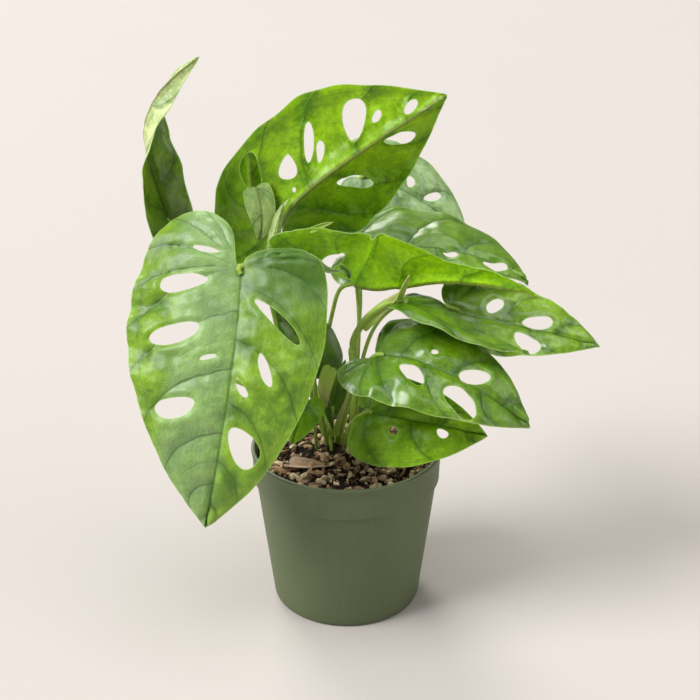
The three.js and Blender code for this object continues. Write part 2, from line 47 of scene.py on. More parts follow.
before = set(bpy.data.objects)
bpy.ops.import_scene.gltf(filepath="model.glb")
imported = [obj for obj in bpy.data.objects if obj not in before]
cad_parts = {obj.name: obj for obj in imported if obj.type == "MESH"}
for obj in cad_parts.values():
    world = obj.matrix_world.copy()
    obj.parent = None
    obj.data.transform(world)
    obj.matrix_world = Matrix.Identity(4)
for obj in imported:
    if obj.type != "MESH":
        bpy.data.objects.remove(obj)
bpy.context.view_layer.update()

MM = 0.001
FRAME_PIXELS = 700

# Outline of half a leaf, from the notch at the stalk round the lobe to the tip: share of the
# half width, then share of the lobe's length (negative) or of the leaf's length (positive).
MARGIN = [
    (0.03, -0.02), (0.1, -0.66), (0.4, -1), (0.76, -0.66), (0.97, 0.04),
    (1, 0.27), (0.84, 0.51), (0.52, 0.75), (0.18, 0.92), (0, 1),
]
VEIN_RAKE = 0.45  # how far a side vein runs forward, per millimetre outward
VEIN_SWEEP = 1.25
ROW_STEP = 0.866  # from one row of mesh points to the next, in spacings

# Relief of a blade in millimetres: height of the broad and fine lumps with the width of each,
# depth and width of the groove over the midrib, height and width of the ridge under it, and the
# raised ring and sunken lip of a hole.
BROAD_LUMPS, BROAD_SIZE = 0.45, 13
FINE_LUMPS, FINE_SIZE = 0.35, 5
RIB_GROOVE, GROOVE_WIDTH = 0.5, 1.4
RIB_RIDGE, RIDGE_WIDTH = 1.3, 1.3
HOLE_RING, RING_DISTANCE, RING_WIDTH = 0.4, 3, 2.2
HOLE_LIP, LIP_WIDTH = 0.25, 1.5

# Forms of the leaves in millimetres. midrib: four points of the curve from stalk to tip. face:
# way that the upper side faces at the base and at the tip. Pairs are for the two halves: width,
# lobe, fold (rise from the midrib) and curl (droop at the edge) in degrees, droop of the lobe in
# degrees, full (share added to the width near the tip), wave (height, count, two phases).
# holes: two ends of each hole's long axis and its half width, on the flat leaf, then how much
# wider the far end is. stalk: course from the soil up, with the radii of its two ends; a stalk
# that isn't rooted starts on the main stem. flaps: sheaths and loose lobes at the stalk. tone
# and looks: which of the finishes a leaf and a flap wear. slot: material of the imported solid.
LEAVES = {
    "leaf_front_left": dict(
        tone="satin", slot="leaf_green",
        midrib=[(-55, -24, 212), (-54, -46, 185), (-62, -82, 146), (-74, -72, 83)],
        face=[(-0.15, -0.75, 0.65), (-0.1, -0.95, 0.25)],
        width=(60, 46), lobe=(36, 9), droop=(20, 20), wave=(1.6, 5, 0, 0.4),
        holes=[
            (11, -8.5, 25, -12.5, 1.5), (17.5, 6.5, 43, 9, 5.5), (19, 33.5, 45, 43.5, 5.5),
            (8.5, 48.5, 17, 51.5, 1.2), (16, 75, 36.5, 83.5, 5.5), (-9, 18.5, -33.5, 39, 3),
            (-13.5, 45.5, -21, 61, 2.5), (-3, 59.5, -10, 68, 2), (-5.5, 84.5, -19, 102, 7),
        ],
        stalk=[(-13, 25, 88), (-20, 12, 122), (-25, 12, 151), (-28, 6, 178),
               (-39, -10, 203), (-55, -24, 211.5)],
        radii=(1.7, 1.3),
    ),
    "leaf_top": dict(
        tone="fresh", slot="leaf_green",
        midrib=[(-35.8, 20.5, 219.5), (-26.8, 12.4, 243.7), (12.9, 14.4, 264.3),
                (52.5, 21.2, 290.9)],
        face=[(-0.1, 0.93, 0.2), (0.1, 0.93, 0.2)],
        width=(41.7, 43.8), lobe=(37, 16), full=(1.15, 1.06), fold=(26.5, 19), curl=(6, 10),
        droop=(12, 10), wave=(1.4, 5, 0.07, 0.4),
        holes=[
            (18.3, 6.8, 37, 16.9, 4.5), (21.2, 30.3, 11.4, 22.2, 4.4, 0.7),
            (10.7, 36, 27.6, 47.8, 2.5), (7.5, 40.5, 16.4, 47.6, 2),
            (6.7, 61.5, 24.7, 74.5, 6), (8.8, 75.6, 12.3, 82, 2), (3.6, 92, 6.2, 101, 2.5),
            (15.4, 4.9, 17.3, 7.2, 1.5), (3.8, 20.1, 6.1, 21.3, 1),
            (-3.1, 74.7, -11.5, 90.5, 3.5), (-8.5, 40.6, -22.6, 56, 4.5),
        ],
        stalk=[(-19, 30, 88), (-29, 14, 125), (-38, 18, 157), (-43, 17, 186),
               (-42, 17, 207), (-35.8, 20.5, 219)],
        radii=(1.9, 1.4),
        flaps=[dict(midrib=[(-41, 17, 208), (-39, 13, 216), (-37, 10, 224), (-33, 9, 236)],
                    face=[(0.3, 0.9, 0.3), (0.3, 0.9, 0.3)], width=3.5, looks="fresh"),
               dict(midrib=[(-38.5, 13, 217.4), (-37.3, 12, 224.8), (-35.1, 13, 230.6),
                            (-30.7, 14, 235.9)],
                    face=[(-0.6, -0.7, 0.2), (-0.6, -0.7, 0.2)], width=2.6, looks="fresh"),
               dict(midrib=[(-48.7, 21, 239.9), (-45.5, 17, 230.4), (-43.5, 15, 220.5),
                            (-48.2, 18, 210)],
                    face=[(-0.3, -0.9, 0.3), (0.1, -0.9, -0.2)], width=8.5, fold=8,
                    looks="lobe")],
    ),
    "leaf_arched": dict(
        tone="bright", slot="leaf_light",
        midrib=[(4.8, -7, 196.2), (28, -9.3, 188.5), (47, -12.7, 210.5),
                (102.2, -24.4, 194.6)],
        face=[(0, 0.9, 0.45), (0.2, 0.85, 0.5)],
        width=(35.5, 18), lobe=(51, 8), full=(0.49, 1), fold=(9.5, 70), curl=(9, 10),
        droop=(15, 10), wave=(1.2, 4, 0.36, 0.3),
        holes=[(16.5, -10.4, 1.3, -20.6, 3.5)],
        stalk=[(-8, 21, 88), (-10, 10, 121), (-11, 9, 151), (-7, 3, 177), (-3, -3, 191),
               (4.8, -7, 195.7)],
        radii=(1.4, 1.1),
        flaps=[dict(midrib=[(-15.3, -16, 211.7), (-13.2, -18, 206.3), (-6.9, -18, 205.2),
                            (0.4, -16, 206.5)],
                    face=[(0.2, -0.5, 0.8), (0, -0.6, 0.8)], width=2.4, looks="bluish"),
               dict(midrib=[(-3.3, -15, 207.6), (-0.1, -17.5, 207.2), (2, -17.5, 205),
                            (1.5, -15, 200.7)],
                    face=[(0, -0.9, 0.3), (0.2, -0.9, 0.1)], width=2.3, looks="bulb"),
               dict(midrib=[(-18.2, -15.5, 228.1), (-14.1, -14.5, 230), (-10.5, -13.5, 230.7),
                            (-6.3, -12.5, 232)],
                    face=[(0, -0.9, 0.4), (0, -0.9, 0.4)], width=1.6, looks="tan")],
    ),
    "leaf_behind_arched": dict(
        tone="deep", slot="leaf_green",
        midrib=[(3, 34, 199), (41, 32, 208), (79, 24, 203), (101, 14, 187)],
        face=[(-0.1, -0.35, 0.93), (0.5, -0.3, 0.8)],
        width=(30, 38), lobe=(13, 18), wave=(1.4, 4, 0, 0.4),
        holes=[(4, 52, 3.5, 61, 4), (6, 75.5, 0, 89.5, 4)],
        stalk=[(2, 27, 88), (5, 16, 121), (7, 24, 155), (6, 30, 177), (3, 34, 198.5)],
        radii=(1.4, 1),
    ),
    "leaf_right": dict(
        tone="pale", slot="leaf_green",
        midrib=[(58, 4, 177), (78, -2, 172), (107, -8, 169), (137, -14, 162)],
        face=[(0, -0.5, 0.85), (0.2, -0.6, 0.8)],
        width=(22, 31), lobe=(10, 10), wave=(1.3, 4, 0.2, 0.6),
        holes=[(-4, 18.5, -13, 25, 3.5), (-2.5, 39, -6.5, 55, 3.5), (7, 36.5, 13, 51, 5)],
        stalk=[(6, 18, 88), (6, 2, 125), (10, -4, 154), (17, -3, 171), (28, -3, 181),
               (43, 0, 182), (58, 4, 176.5)],
        radii=(1.3, 1),
    ),
    "leaf_edge_on": dict(
        tone="deep", slot="leaf_green", rooted=False,
        midrib=[(29, -20, 191), (44, -30, 192), (63, -38, 174), (97, -36, 168)],
        face=[(0.2, -0.1, 0.97), (0.3, 0.1, 0.9)],
        width=(10.5, 27.5), lobe=(6, 6), fold=(0, 0), wave=(1.2, 3, 0.2, 0.6),
        holes=[],
        stalk=[(3.7, -9.2, 159.9), (4.1, -10.3, 164), (6.5, -15.5, 172), (11, -20, 181),
               (19, -23, 189), (29, -20, 190.5)],
        radii=(2.05, 1.6),
        flaps=[dict(midrib=[(27, -21, 192), (28, -23, 196), (30, -24, 201), (33, -24, 207)],
                    face=[(0.6, -0.7, 0.3), (0.6, -0.7, 0.3)], width=2.6, looks="tan"),
               dict(midrib=[(8.3, -16.5, 175.5), (12.4, -20.6, 183.4), (19.3, -23.4, 190.6),
                            (30, -21.6, 197)],
                    face=[(0.5, 0.5, -0.7), (0.3, 0.6, -0.7)], width=5, looks="tan")],
    ),
    "leaf_front_right": dict(
        tone="deep", slot="leaf_green",
        midrib=[(16, -32, 165), (41, -42, 171), (69, -54, 158), (97, -52, 132)],
        face=[(0, -0.5, 0.85), (0.2, -0.75, 0.65)],
        width=(31, 32), lobe=(18, 3), fold=(15, 0), curl=(20, 25), droop=(-10, 10),
        wave=(1.3, 4, 0, 0.4),
        holes=[(5.5, 16, 14.5, 31, 4.5), (-1, 46, -8.5, 60.5, 4), (10, 42.5, 16.5, 62.5, 6.5),
               (-6.5, 28, -8.5, 31, 1.5)],
        stalk=[(2, 9, 88), (4, -22, 133), (8, -29, 154), (16, -32, 164.5)],
        radii=(1.6, 1.2),
    ),
    "leaf_low_right": dict(
        tone="matt", slot="leaf_green",
        midrib=[(11, -20, 126), (29, -32, 127), (50, -40, 128), (76, -40, 121)],
        face=[(0, -0.7, 0.7), (0.1, -0.8, 0.6)],
        width=(28, 24), lobe=(6, 10), curl=(30, 20), wave=(1, 4, 0, 0.4),
        holes=[(6, 17, 9.5, 21.5, 2), (2.5, 42, 5.5, 48, 2.5)],
        stalk=[(-1.4, 4, 88), (2, -16, 115), (11, -20, 125.5)],
        radii=(1.5, 1.1),
    ),
    "leaf_curled": dict(
        tone="young", slot="leaf_light",
        midrib=[(-96, 20, 219), (-106, 18, 259), (-119, 20, 282), (-76, 24, 310)],
        face=[(0.2, -0.95, 0.1), (0.75, 0.5, 0.2)],
        width=(16, 16), lobe=(5, 5), fold=(30, 40), curl=(-10, -10), wave=(1.2, 4, 0, 0.4),
        holes=[(7, 66, 9, 70, 1.2), (4, 82, 4.5, 86, 1)],
        stalk=[(-24, 31, 88), (-39, 28, 108), (-75, 26, 127), (-103, 24, 135),
               (-115, 22, 153), (-114, 22, 180), (-108, 21, 204), (-96, 20, 218.5)],
        radii=(1.5, 1),
    ),
    "leaf_back_right": dict(
        tone="hazy", slot="leaf_green",
        midrib=[(9, 88, 226), (31, 90, 221), (52, 90, 206), (72, 84, 190)],
        face=[(0, -0.75, 0.65), (0.2, -0.7, 0.7)],
        width=(24, 28), lobe=(12, 14), wave=(1.2, 4, 0, 0.4),
        holes=[(-3.5, 29.5, -9.5, 27, 2.5), (-2, 40, -10, 47, 2.5)],
        stalk=[(-3, 38, 88), (2, 46, 114), (7, 60, 140), (7, 66, 170), (-5, 76, 192),
               (-2, 86, 212), (9, 88, 225.5)],
        radii=(1.4, 1),
    ),
    "leaf_behind_left": dict(
        tone="deep", slot="leaf_green",
        midrib=[(-18, -4, 140), (-19, -8, 158), (-27, -10, 174), (-39, -8, 183)],
        face=[(0.3, -0.8, 0.5), (0.3, -0.8, 0.5)],
        width=(20, 18), lobe=(6, 6), wave=(0.8, 3, 0, 0.4),
        holes=[],
        stalk=[(-10.5, 10, 88), (-14, 0, 112), (-17, -3, 126), (-18, -4, 139.5)],
        radii=(1.9, 1.1),
        flaps=[dict(midrib=[(-8.4, -9, 146.6), (-11.2, -9, 139.4), (-13.4, -9, 131.4),
                            (-10.8, -6, 120.7)],
                    face=[(-0.2, -0.9, 0.3), (-0.2, -0.9, 0.3)], width=4.4, fold=20,
                    looks="tan"),
               dict(midrib=[(-12.4, -5, 128), (-11, -5, 120.7), (-9, -3.5, 113), (-7, -1, 103)],
                    face=[(0.1, -0.95, 0.2), (0.1, -0.95, 0.2)], width=2.6, fold=20,
                    looks="bulb")],
    ),
    "leaf_low_left": dict(
        tone="matt", slot="leaf_light",
        midrib=[(-21, -13, 129), (-24, -19, 127), (-27, -25, 119), (-30, -26, 108)],
        face=[(-0.1, -0.8, 0.6), (-0.1, -0.8, 0.3)],
        width=(11, 11), lobe=(6, 6), wave=(0.5, 3, 0, 0.4),
        holes=[],
        stalk=[(-17, 6, 88), (-18, -8, 114), (-21, -13, 128.5)],
        radii=(1.1, 0.8),
    ),
    "leaf_behind_top": dict(
        tone="fresh", slot="leaf_light",
        midrib=[(-48, 46, 192), (-51, 46, 212), (-54, 46, 238), (-53, 46, 260)],
        face=[(0.1, 0.95, 0), (-0.1, 0.95, 0)],
        width=(13, 12), lobe=(5, 5), fold=(15, 15), curl=(10, 10), wave=(0.5, 3, 0, 0.4),
        holes=[],
        stalk=[(-12, 34, 88), (-18, 40, 112), (-32, 45, 145), (-43, 46, 173),
               (-48, 46, 191.5)],
        radii=(1.2, 0.9),
    ),
    "leaf_inner": dict(
        tone="deep", slot="leaf_green",
        midrib=[(-8, 7.5, 112), (-6.5, 6.5, 121), (-3.5, 5.5, 132), (-0.5, 6, 145)],
        face=[(0.1, -0.95, 0.2), (0.1, -0.95, 0.2)],
        width=(7, 7), lobe=(3, 3), curl=(10, 10), wave=(0.4, 3, 0, 0.4),
        holes=[],
        stalk=[(-8.5, 3.5, 88), (-9.5, 6, 100), (-8, 7.5, 111.5)],
        radii=(1.1, 0.9),
    ),
}
ROOT_DEPTH = 22  # how far a stem goes down into the soil

VINE = dict(
    path=[(-5, 13, 88), (-2, 0, 112), (3, -8, 134), (3.6, -9, 159)],
    radii=(2.6, 2), knots=(0.48, 0.97),
    flaps=[dict(midrib=[(-5.2, 0.3, 101.5), (-3.8, -4.6, 112.8), (-1, -10, 124.6),
                        (3, -12.5, 136)],
                face=[(-0.7, -0.7, 0), (-0.6, -0.75, 0.2)], width=2.1, looks="tan")],
)
SCRAP = dict(
    midrib=[(-32, -14, 89.5), (-25, -19, 91), (-18, -20, 92), (-9, -16, 89.8)],
    face=[(0.1, -0.3, 1), (-0.1, -0.2, 1)], width=5,
)


class Signal:
    """A value that varies over a surface. Arithmetic on it adds Math nodes to its finish."""

    def __init__(self, finish, socket):
        self.finish = finish
        self.socket = socket

    def _math(self, operation, *values):
        return self.finish.node("ShaderNodeMath", {"operation": operation},
                                dict(enumerate(values)))

    def __add__(self, other):
        return self._math("ADD", self, other)

    def __sub__(self, other):
        return self._math("SUBTRACT", self, other)

    def __rsub__(self, other):
        return self._math("SUBTRACT", other, self)

    def __mul__(self, other):
        return self._math("MULTIPLY", self, other)

    def __abs__(self):
        return self._math("ABSOLUTE", self)

    __radd__ = __add__
    __rmul__ = __mul__

    def fraction(self):
        return self._math("FRACT", self)

    def larger(self, other):
        return self._math("MAXIMUM", self, other)

    def rise(self, low, high):
        """Smooth step from 0 below low to 1 above high."""
        return self.finish.node("ShaderNodeMapRange", {"interpolation_type": "SMOOTHSTEP"},
                                {"Value": self, "From Min": low, "From Max": high})

    def axes(self):
        """The three components of a vector."""
        split = self.finish.node("ShaderNodeSeparateXYZ", {}, {0: self}, output=None)
        return [Signal(self.finish, socket) for socket in split.outputs]


class Finish:
    """A procedural material under construction."""

    def __init__(self, name):
        self.material = bpy.data.materials.new(name)
        self.material.use_nodes = True
        self.tree = self.material.node_tree
        self.tree.nodes.clear()

    def node(self, kind, settings, inputs, output=0):
        """Adds a node and returns one of its outputs, or the node itself if output is None."""
        made = self.tree.nodes.new(kind)
        for key, value in settings.items():
            setattr(made, key, value)
        for key, value in inputs.items():
            if isinstance(value, Signal):
                self.tree.links.new(value.socket, made.inputs[key])
            else:
                made.inputs[key].default_value = value
        return made if output is None else Signal(self, made.outputs[output])

    def uv(self, layer):
        return self.node("ShaderNodeUVMap", {"uv_map": layer}, {})

    def place(self):
        """Position on the object in metres."""
        return self.node("ShaderNodeTexCoord", {}, {}, "Object")

    def stretched(self, vector, scale):
        return self.node("ShaderNodeVectorMath", {"operation": "MULTIPLY"},
                         {0: vector, 1: scale})

    def joined(self, x, y, z=0.0):
        return self.node("ShaderNodeCombineXYZ", {}, {0: x, 1: y, 2: z})

    def noise(self, vector, scale, detail=2.0, rough=0.5):
        return self.node("ShaderNodeTexNoise", {},
                         {"Vector": vector, "Scale": scale, "Detail": detail,
                          "Roughness": rough})

    def cell_edges(self, vector, scale):
        """Distance to the border between the cells of an irregular net."""
        return self.node("ShaderNodeTexVoronoi", {"feature": "DISTANCE_TO_EDGE"},
                         {"Vector": vector, "Scale": scale})

    def mix(self, factor, first, second):
        """Colour between two colours; factor is 0 for the first and 1 for the second."""
        pair = [c if isinstance(c, Signal) else (*c, 1) for c in (first, second)]
        return self.node("ShaderNodeMix", {"data_type": "RGBA"},
                         {0: factor, 6: pair[0], 7: pair[1]}, 2)

    def bump(self, height, distance, strength=1.0):
        """Fine relief; height 0 to 1 stands for distance in metres."""
        return self.node("ShaderNodeBump", {},
                         {"Height": height, "Distance": distance, "Strength": strength})

    def surface(self, **inputs):
        """Ends the finish with a principled surface, and returns its material."""
        named = {key.replace("_", " ").title().replace("Ior", "IOR"): value
                 for key, value in inputs.items()}
        shader = self.node("ShaderNodeBsdfPrincipled", {}, named)
        self.node("ShaderNodeOutputMaterial", {}, {"Surface": shader}, output=None)
        return self.material


def through(points, at):
    """Places on the smooth curve through a row of points, at parameters from 0 to 1."""
    row = np.asarray(points, float)
    row = np.vstack([2 * row[0] - row[1], row, 2 * row[-1] - row[-2]])
    where = np.clip(np.asarray(at, float) * (len(row) - 3), 0, len(row) - 3 - 1e-9)
    index = where.astype(int)
    s = (where - index)[:, None]
    a, b, c, d = row[index], row[index + 1], row[index + 2], row[index + 3]
    return b + 0.5 * s * (c - a + s * (2 * a - 5 * b + 4 * c - d + s * (3 * (b - c) + d - a)))


def lengths(points):
    """Running length along a row of points."""
    return np.r_[0, np.cumsum(np.linalg.norm(np.diff(points, axis=0), axis=1))]


def evenly(points, count):
    """Points at even steps along a row of points."""
    run = lengths(points)
    at = np.linspace(0, run[-1], count)
    return np.stack([np.interp(at, run, points[:, k]) for k in range(points.shape[1])], 1)


def unit(vectors):
    return vectors / np.maximum(np.linalg.norm(vectors, axis=-1, keepdims=True), 1e-12)


def step(low, high, value):
    """Smooth step from 0 below low to 1 above high."""
    s = np.clip((value - low) / (high - low), 0, 1)
    return s * s * (3 - 2 * s)


def inside(points, loop):
    """True for each point inside a closed loop."""
    x, y = points[:, 0, None], points[:, 1, None]
    a, b = loop, np.roll(loop, -1, axis=0)
    rise = np.where(a[:, 1] == b[:, 1], 1e-12, b[:, 1] - a[:, 1])
    crosses = (a[:, 1] > y) != (b[:, 1] > y)
    left_of = x < a[:, 0] + (b[:, 0] - a[:, 0]) * (y - a[:, 1]) / rise
    return (crosses & left_of).sum(1) % 2 == 1


def nearest(points, others, block=2000):
    """For each point, which of the others is nearest and how far away."""
    index, distance = [], []
    for start in range(0, len(points), block):
        gap = points[start:start + block, None] - others[None]
        square = (gap ** 2).sum(2)
        index.append(square.argmin(1))
        distance.append(np.sqrt(square.min(1)))
    return np.concatenate(index), np.concatenate(distance)


def sheet(outline, holes, spacing, extra=None):
    """Flat triangles that fill an outline around its holes. Gives points, triangles, and the
    distance of each point from the nearest edge."""
    loops = [outline, *holes]
    rim = np.vstack(loops)
    low, high = outline.min(0), outline.max(0)
    grid = []
    for i, y in enumerate(np.arange(low[1], high[1], spacing * ROW_STEP)):
        row = np.arange(low[0] + spacing * 0.5 * (i % 2), high[0], spacing)
        grid.append(np.stack([row, np.full(len(row), y)], 1))
    grid = np.vstack(grid)
    if extra is not None:
        grid = grid[nearest(grid, extra)[1] > 0.6 * spacing]
        grid = np.vstack([extra, grid])
    kept = inside(grid, outline) & (nearest(grid, rim)[1] > 0.55 * spacing)
    for hole in holes:
        kept &= ~inside(grid, hole)
    flat = np.vstack([rim, grid[kept]])
    edges, start = [], 0
    for loop in loops:
        edges += [(start + k, start + (k + 1) % len(loop)) for k in range(len(loop))]
        start += len(loop)
    made = delaunay_2d_cdt([Vector(p) for p in flat], edges, [], 0, 1e-6)
    points = np.array([tuple(p) for p in made[0]])
    triangles = np.array([face for face in made[2] if len(face) == 3])
    centres = points[triangles].mean(1)
    kept = inside(centres, outline)
    for hole in holes:
        kept &= ~inside(centres, hole)
    triangles = triangles[kept]
    used, triangles = np.unique(triangles, return_inverse=True)
    points = points[used]
    return points, triangles.reshape(-1, 3), nearest(points, rim)[1]


def normals_of(points, triangles):
    a, b, c = (points[triangles[:, k]] for k in range(3))
    turn = np.cross(b - a, c - a)
    total = np.zeros_like(points)
    for corner in triangles.T:
        np.add.at(total, corner, turn)
    return unit(total)


def border(triangles):
    """Directed edges that only one triangle has."""
    edges = {(a, b) for t in triangles.tolist() for a, b in zip(t, t[1:] + t[:1])}
    return sorted((a, b) for a, b in edges if (b, a) not in edges)


def lumps(x, y, seed, size):
    """Smooth uneven relief from -1 to 1; size is about the width of a lump."""
    draw = np.random.default_rng(seed)
    total = np.zeros_like(x)
    for _ in range(7):
        angle, phase = draw.uniform(0, 2 * math.pi, 2)
        wave = draw.uniform(0.7, 1.5) * math.pi / size
        total += np.sin(wave * (x * math.cos(angle) + y * math.sin(angle)) + phase)
    return total / 7 * 1.6


class Leaf:
    """A leaf's form: its midrib in space and its outline on the flat."""

    def __init__(self, midrib, face, width, lobe=(1, 1), full=(1, 1), fold=(5, 5),
                 curl=(20, 20), droop=(10, 10), wave=(0, 1, 0, 0), **others):
        self.midrib = np.array(midrib, float)
        self.face = unit(np.array(face, float))
        self.width, self.lobe = np.array(width, float), np.array(lobe, float)
        self.fold, self.curl = np.radians(fold), np.radians(curl) / self.width
        self.droop = np.radians(np.where(np.array(droop) == 0, 0.01, droop)) / self.lobe
        self.wave = wave
        self.steps = np.linspace(0, 1, 400)
        self.run = lengths(self.rib(self.steps))
        self.length = self.run[-1]
        self.control = [
            [(across * width[half] * (full[half] if along > 0.5 else 1),
              along * (lobe[half] if along < 0 else self.length)) for across, along in MARGIN]
            for half in (0, 1)]

    @classmethod
    def scale(cls, midrib, face, width, fold=35, **others):
        """A simple pointed scale."""
        return cls(midrib, face, (width, width), fold=(fold, fold), curl=(10, 10), droop=(0, 0))

    def rib(self, u):
        a, b, c, d = self.midrib
        u = np.asarray(u, float)[:, None]
        return ((1 - u) ** 3 * a + 3 * (1 - u) ** 2 * u * b + 3 * (1 - u) * u ** 2 * c
                + u ** 3 * d)

    def flat(self, side, tau, t):
        """Points on the flat leaf at tau along the outline and t from midrib (0) to edge (1)."""
        one, other = (through(points, tau) for points in self.control)
        edge = np.where((side > 0)[:, None], one, other)
        start = np.maximum(0, (one[:, 1] + other[:, 1]
                               - VEIN_RAKE * (one[:, 0] + other[:, 0])) / 2)
        return np.stack([side * t * edge[:, 0],
                         start + t ** VEIN_SWEEP * (edge[:, 1] - start)], 1)

    def place(self, points, side):
        """tau and t of points on one half of the flat leaf."""
        tau, t = (grid.ravel() for grid in np.meshgrid(np.linspace(0, 1, 80),
                                                       np.linspace(0.01, 1, 26)))
        index = nearest(points, self.flat(np.full(len(tau), side), tau, t))[0]
        tau, t = tau[index], t[index]
        side = np.full(len(points), side)
        hair = 1e-3
        for _ in range(4):
            here = self.flat(side, tau, t)
            along = (self.flat(side, np.minimum(tau + hair, 1), t)
                     - self.flat(side, np.maximum(tau - hair, 0), t)) / (2 * hair)
            out = (self.flat(side, tau, t + hair) - here) / hair
            gap = points - here
            area = along[:, 0] * out[:, 1] - along[:, 1] * out[:, 0]
            area = np.where(np.abs(area) < 1e-6, 1e-6, area)
            shift_tau = (gap[:, 0] * out[:, 1] - gap[:, 1] * out[:, 0]) / area
            shift_t = (along[:, 0] * gap[:, 1] - along[:, 1] * gap[:, 0]) / area
            tau = np.clip(tau + np.clip(shift_tau, -0.02, 0.02), 0, 1)
            t = np.clip(t + np.clip(shift_t, -0.05, 0.05), 0, 1)
        return tau, t

    def bend(self, x, y, side):
        """Bends points of the flat leaf into place."""
        half = np.where(side > 0, 0, 1)
        u = np.interp(np.clip(y, 0, self.length), self.run, self.steps)
        origin = self.rib(u)
        along = unit(self.rib(np.minimum(u + 1e-3, 1)) - self.rib(np.maximum(u - 1e-3, 0)))
        facing = self.face[0] + u[:, None] * (self.face[1] - self.face[0])
        facing = unit(facing - (facing * along).sum(1, keepdims=True) * along)
        across = np.cross(along, facing)
        fold, curl, reach = self.fold[half], self.curl[half], np.abs(x)
        out = (np.sin(fold) - np.sin(fold - curl * reach)) / curl
        up = (np.cos(fold - curl * reach) - np.cos(fold)) / curl
        height, count, *phase = self.wave
        turns = count * y / self.length + np.array(phase)[half]
        up = up + height * (reach / self.width[half]) ** 2 * np.sin(2 * np.pi * turns)
        bow = self.droop[half]
        back = np.where(y < 0, np.sin(-bow * y) / bow, 0)
        up = up - np.where(y < 0, (1 - np.cos(bow * y)) / bow, 0)
        return (origin + (side * out)[:, None] * across + up[:, None] * facing
                - back[:, None] * along)

    def outline(self, spacing):
        """Closed outline of the flat leaf, from the stalk round both halves."""
        halves = []
        for half, side in ((0, 1), (1, -1)):
            edge = through(self.control[half], np.linspace(0, 1, 500)) * (side, 1)
            edge = evenly(edge, max(12, int(lengths(edge)[-1] / spacing)))
            halves.append(edge)
        return np.vstack([[(0, 0)], halves[0], halves[1][-2::-1]])


def hole_outline(spacing, x0, y0, x1, y1, half_width, taper=0.18):
    """Egg-shaped hole, wider at its second end by the share given as taper."""
    axis = np.array([x1 - x0, y1 - y0]) / 2
    half = np.linalg.norm(axis)
    cross = np.array([-axis[1], axis[0]]) / half * half_width
    count = max(14, int(2 * math.pi * max(half, half_width) * 0.8 / spacing))
    angle = np.linspace(0, 2 * math.pi, count, endpoint=False)
    uneven = 1 + 0.05 * np.sin(3 * angle + x0 + y0)
    along = np.sign(np.cos(angle)) * np.abs(np.cos(angle)) ** 0.9 * uneven
    wide = np.sin(angle) * (1 + taper * np.cos(angle)) * uneven
    return (np.array([x0 + x1, y0 + y1]) / 2 + along[:, None] * axis
            + wide[:, None] * cross)


def new_object(name, points, faces, finishes, finish_of=None, layers=None, sharp=40):
    """Object from points in millimetres. layers holds a UV pair for each corner of each face."""
    mesh = bpy.data.meshes.new(name)
    mesh.from_pydata((np.asarray(points) * MM).tolist(), [], faces)
    for finish in finishes:
        mesh.materials.append(finish)
    if finish_of is not None:
        mesh.polygons.foreach_set("material_index", finish_of)
    for layer, pairs in (layers or {}).items():
        mesh.uv_layers.new(name=layer).data.foreach_set("uv", np.asarray(pairs).ravel())
    mesh.shade_smooth()
    mesh.set_sharp_from_angle(angle=math.radians(sharp))
    mesh.validate()
    mesh.update()
    made = bpy.data.objects.new(name, mesh)
    bpy.context.scene.collection.objects.link(made)
    return made


def stands_for(made, node):
    """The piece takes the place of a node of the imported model."""
    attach(made, "root")
    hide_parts(node)


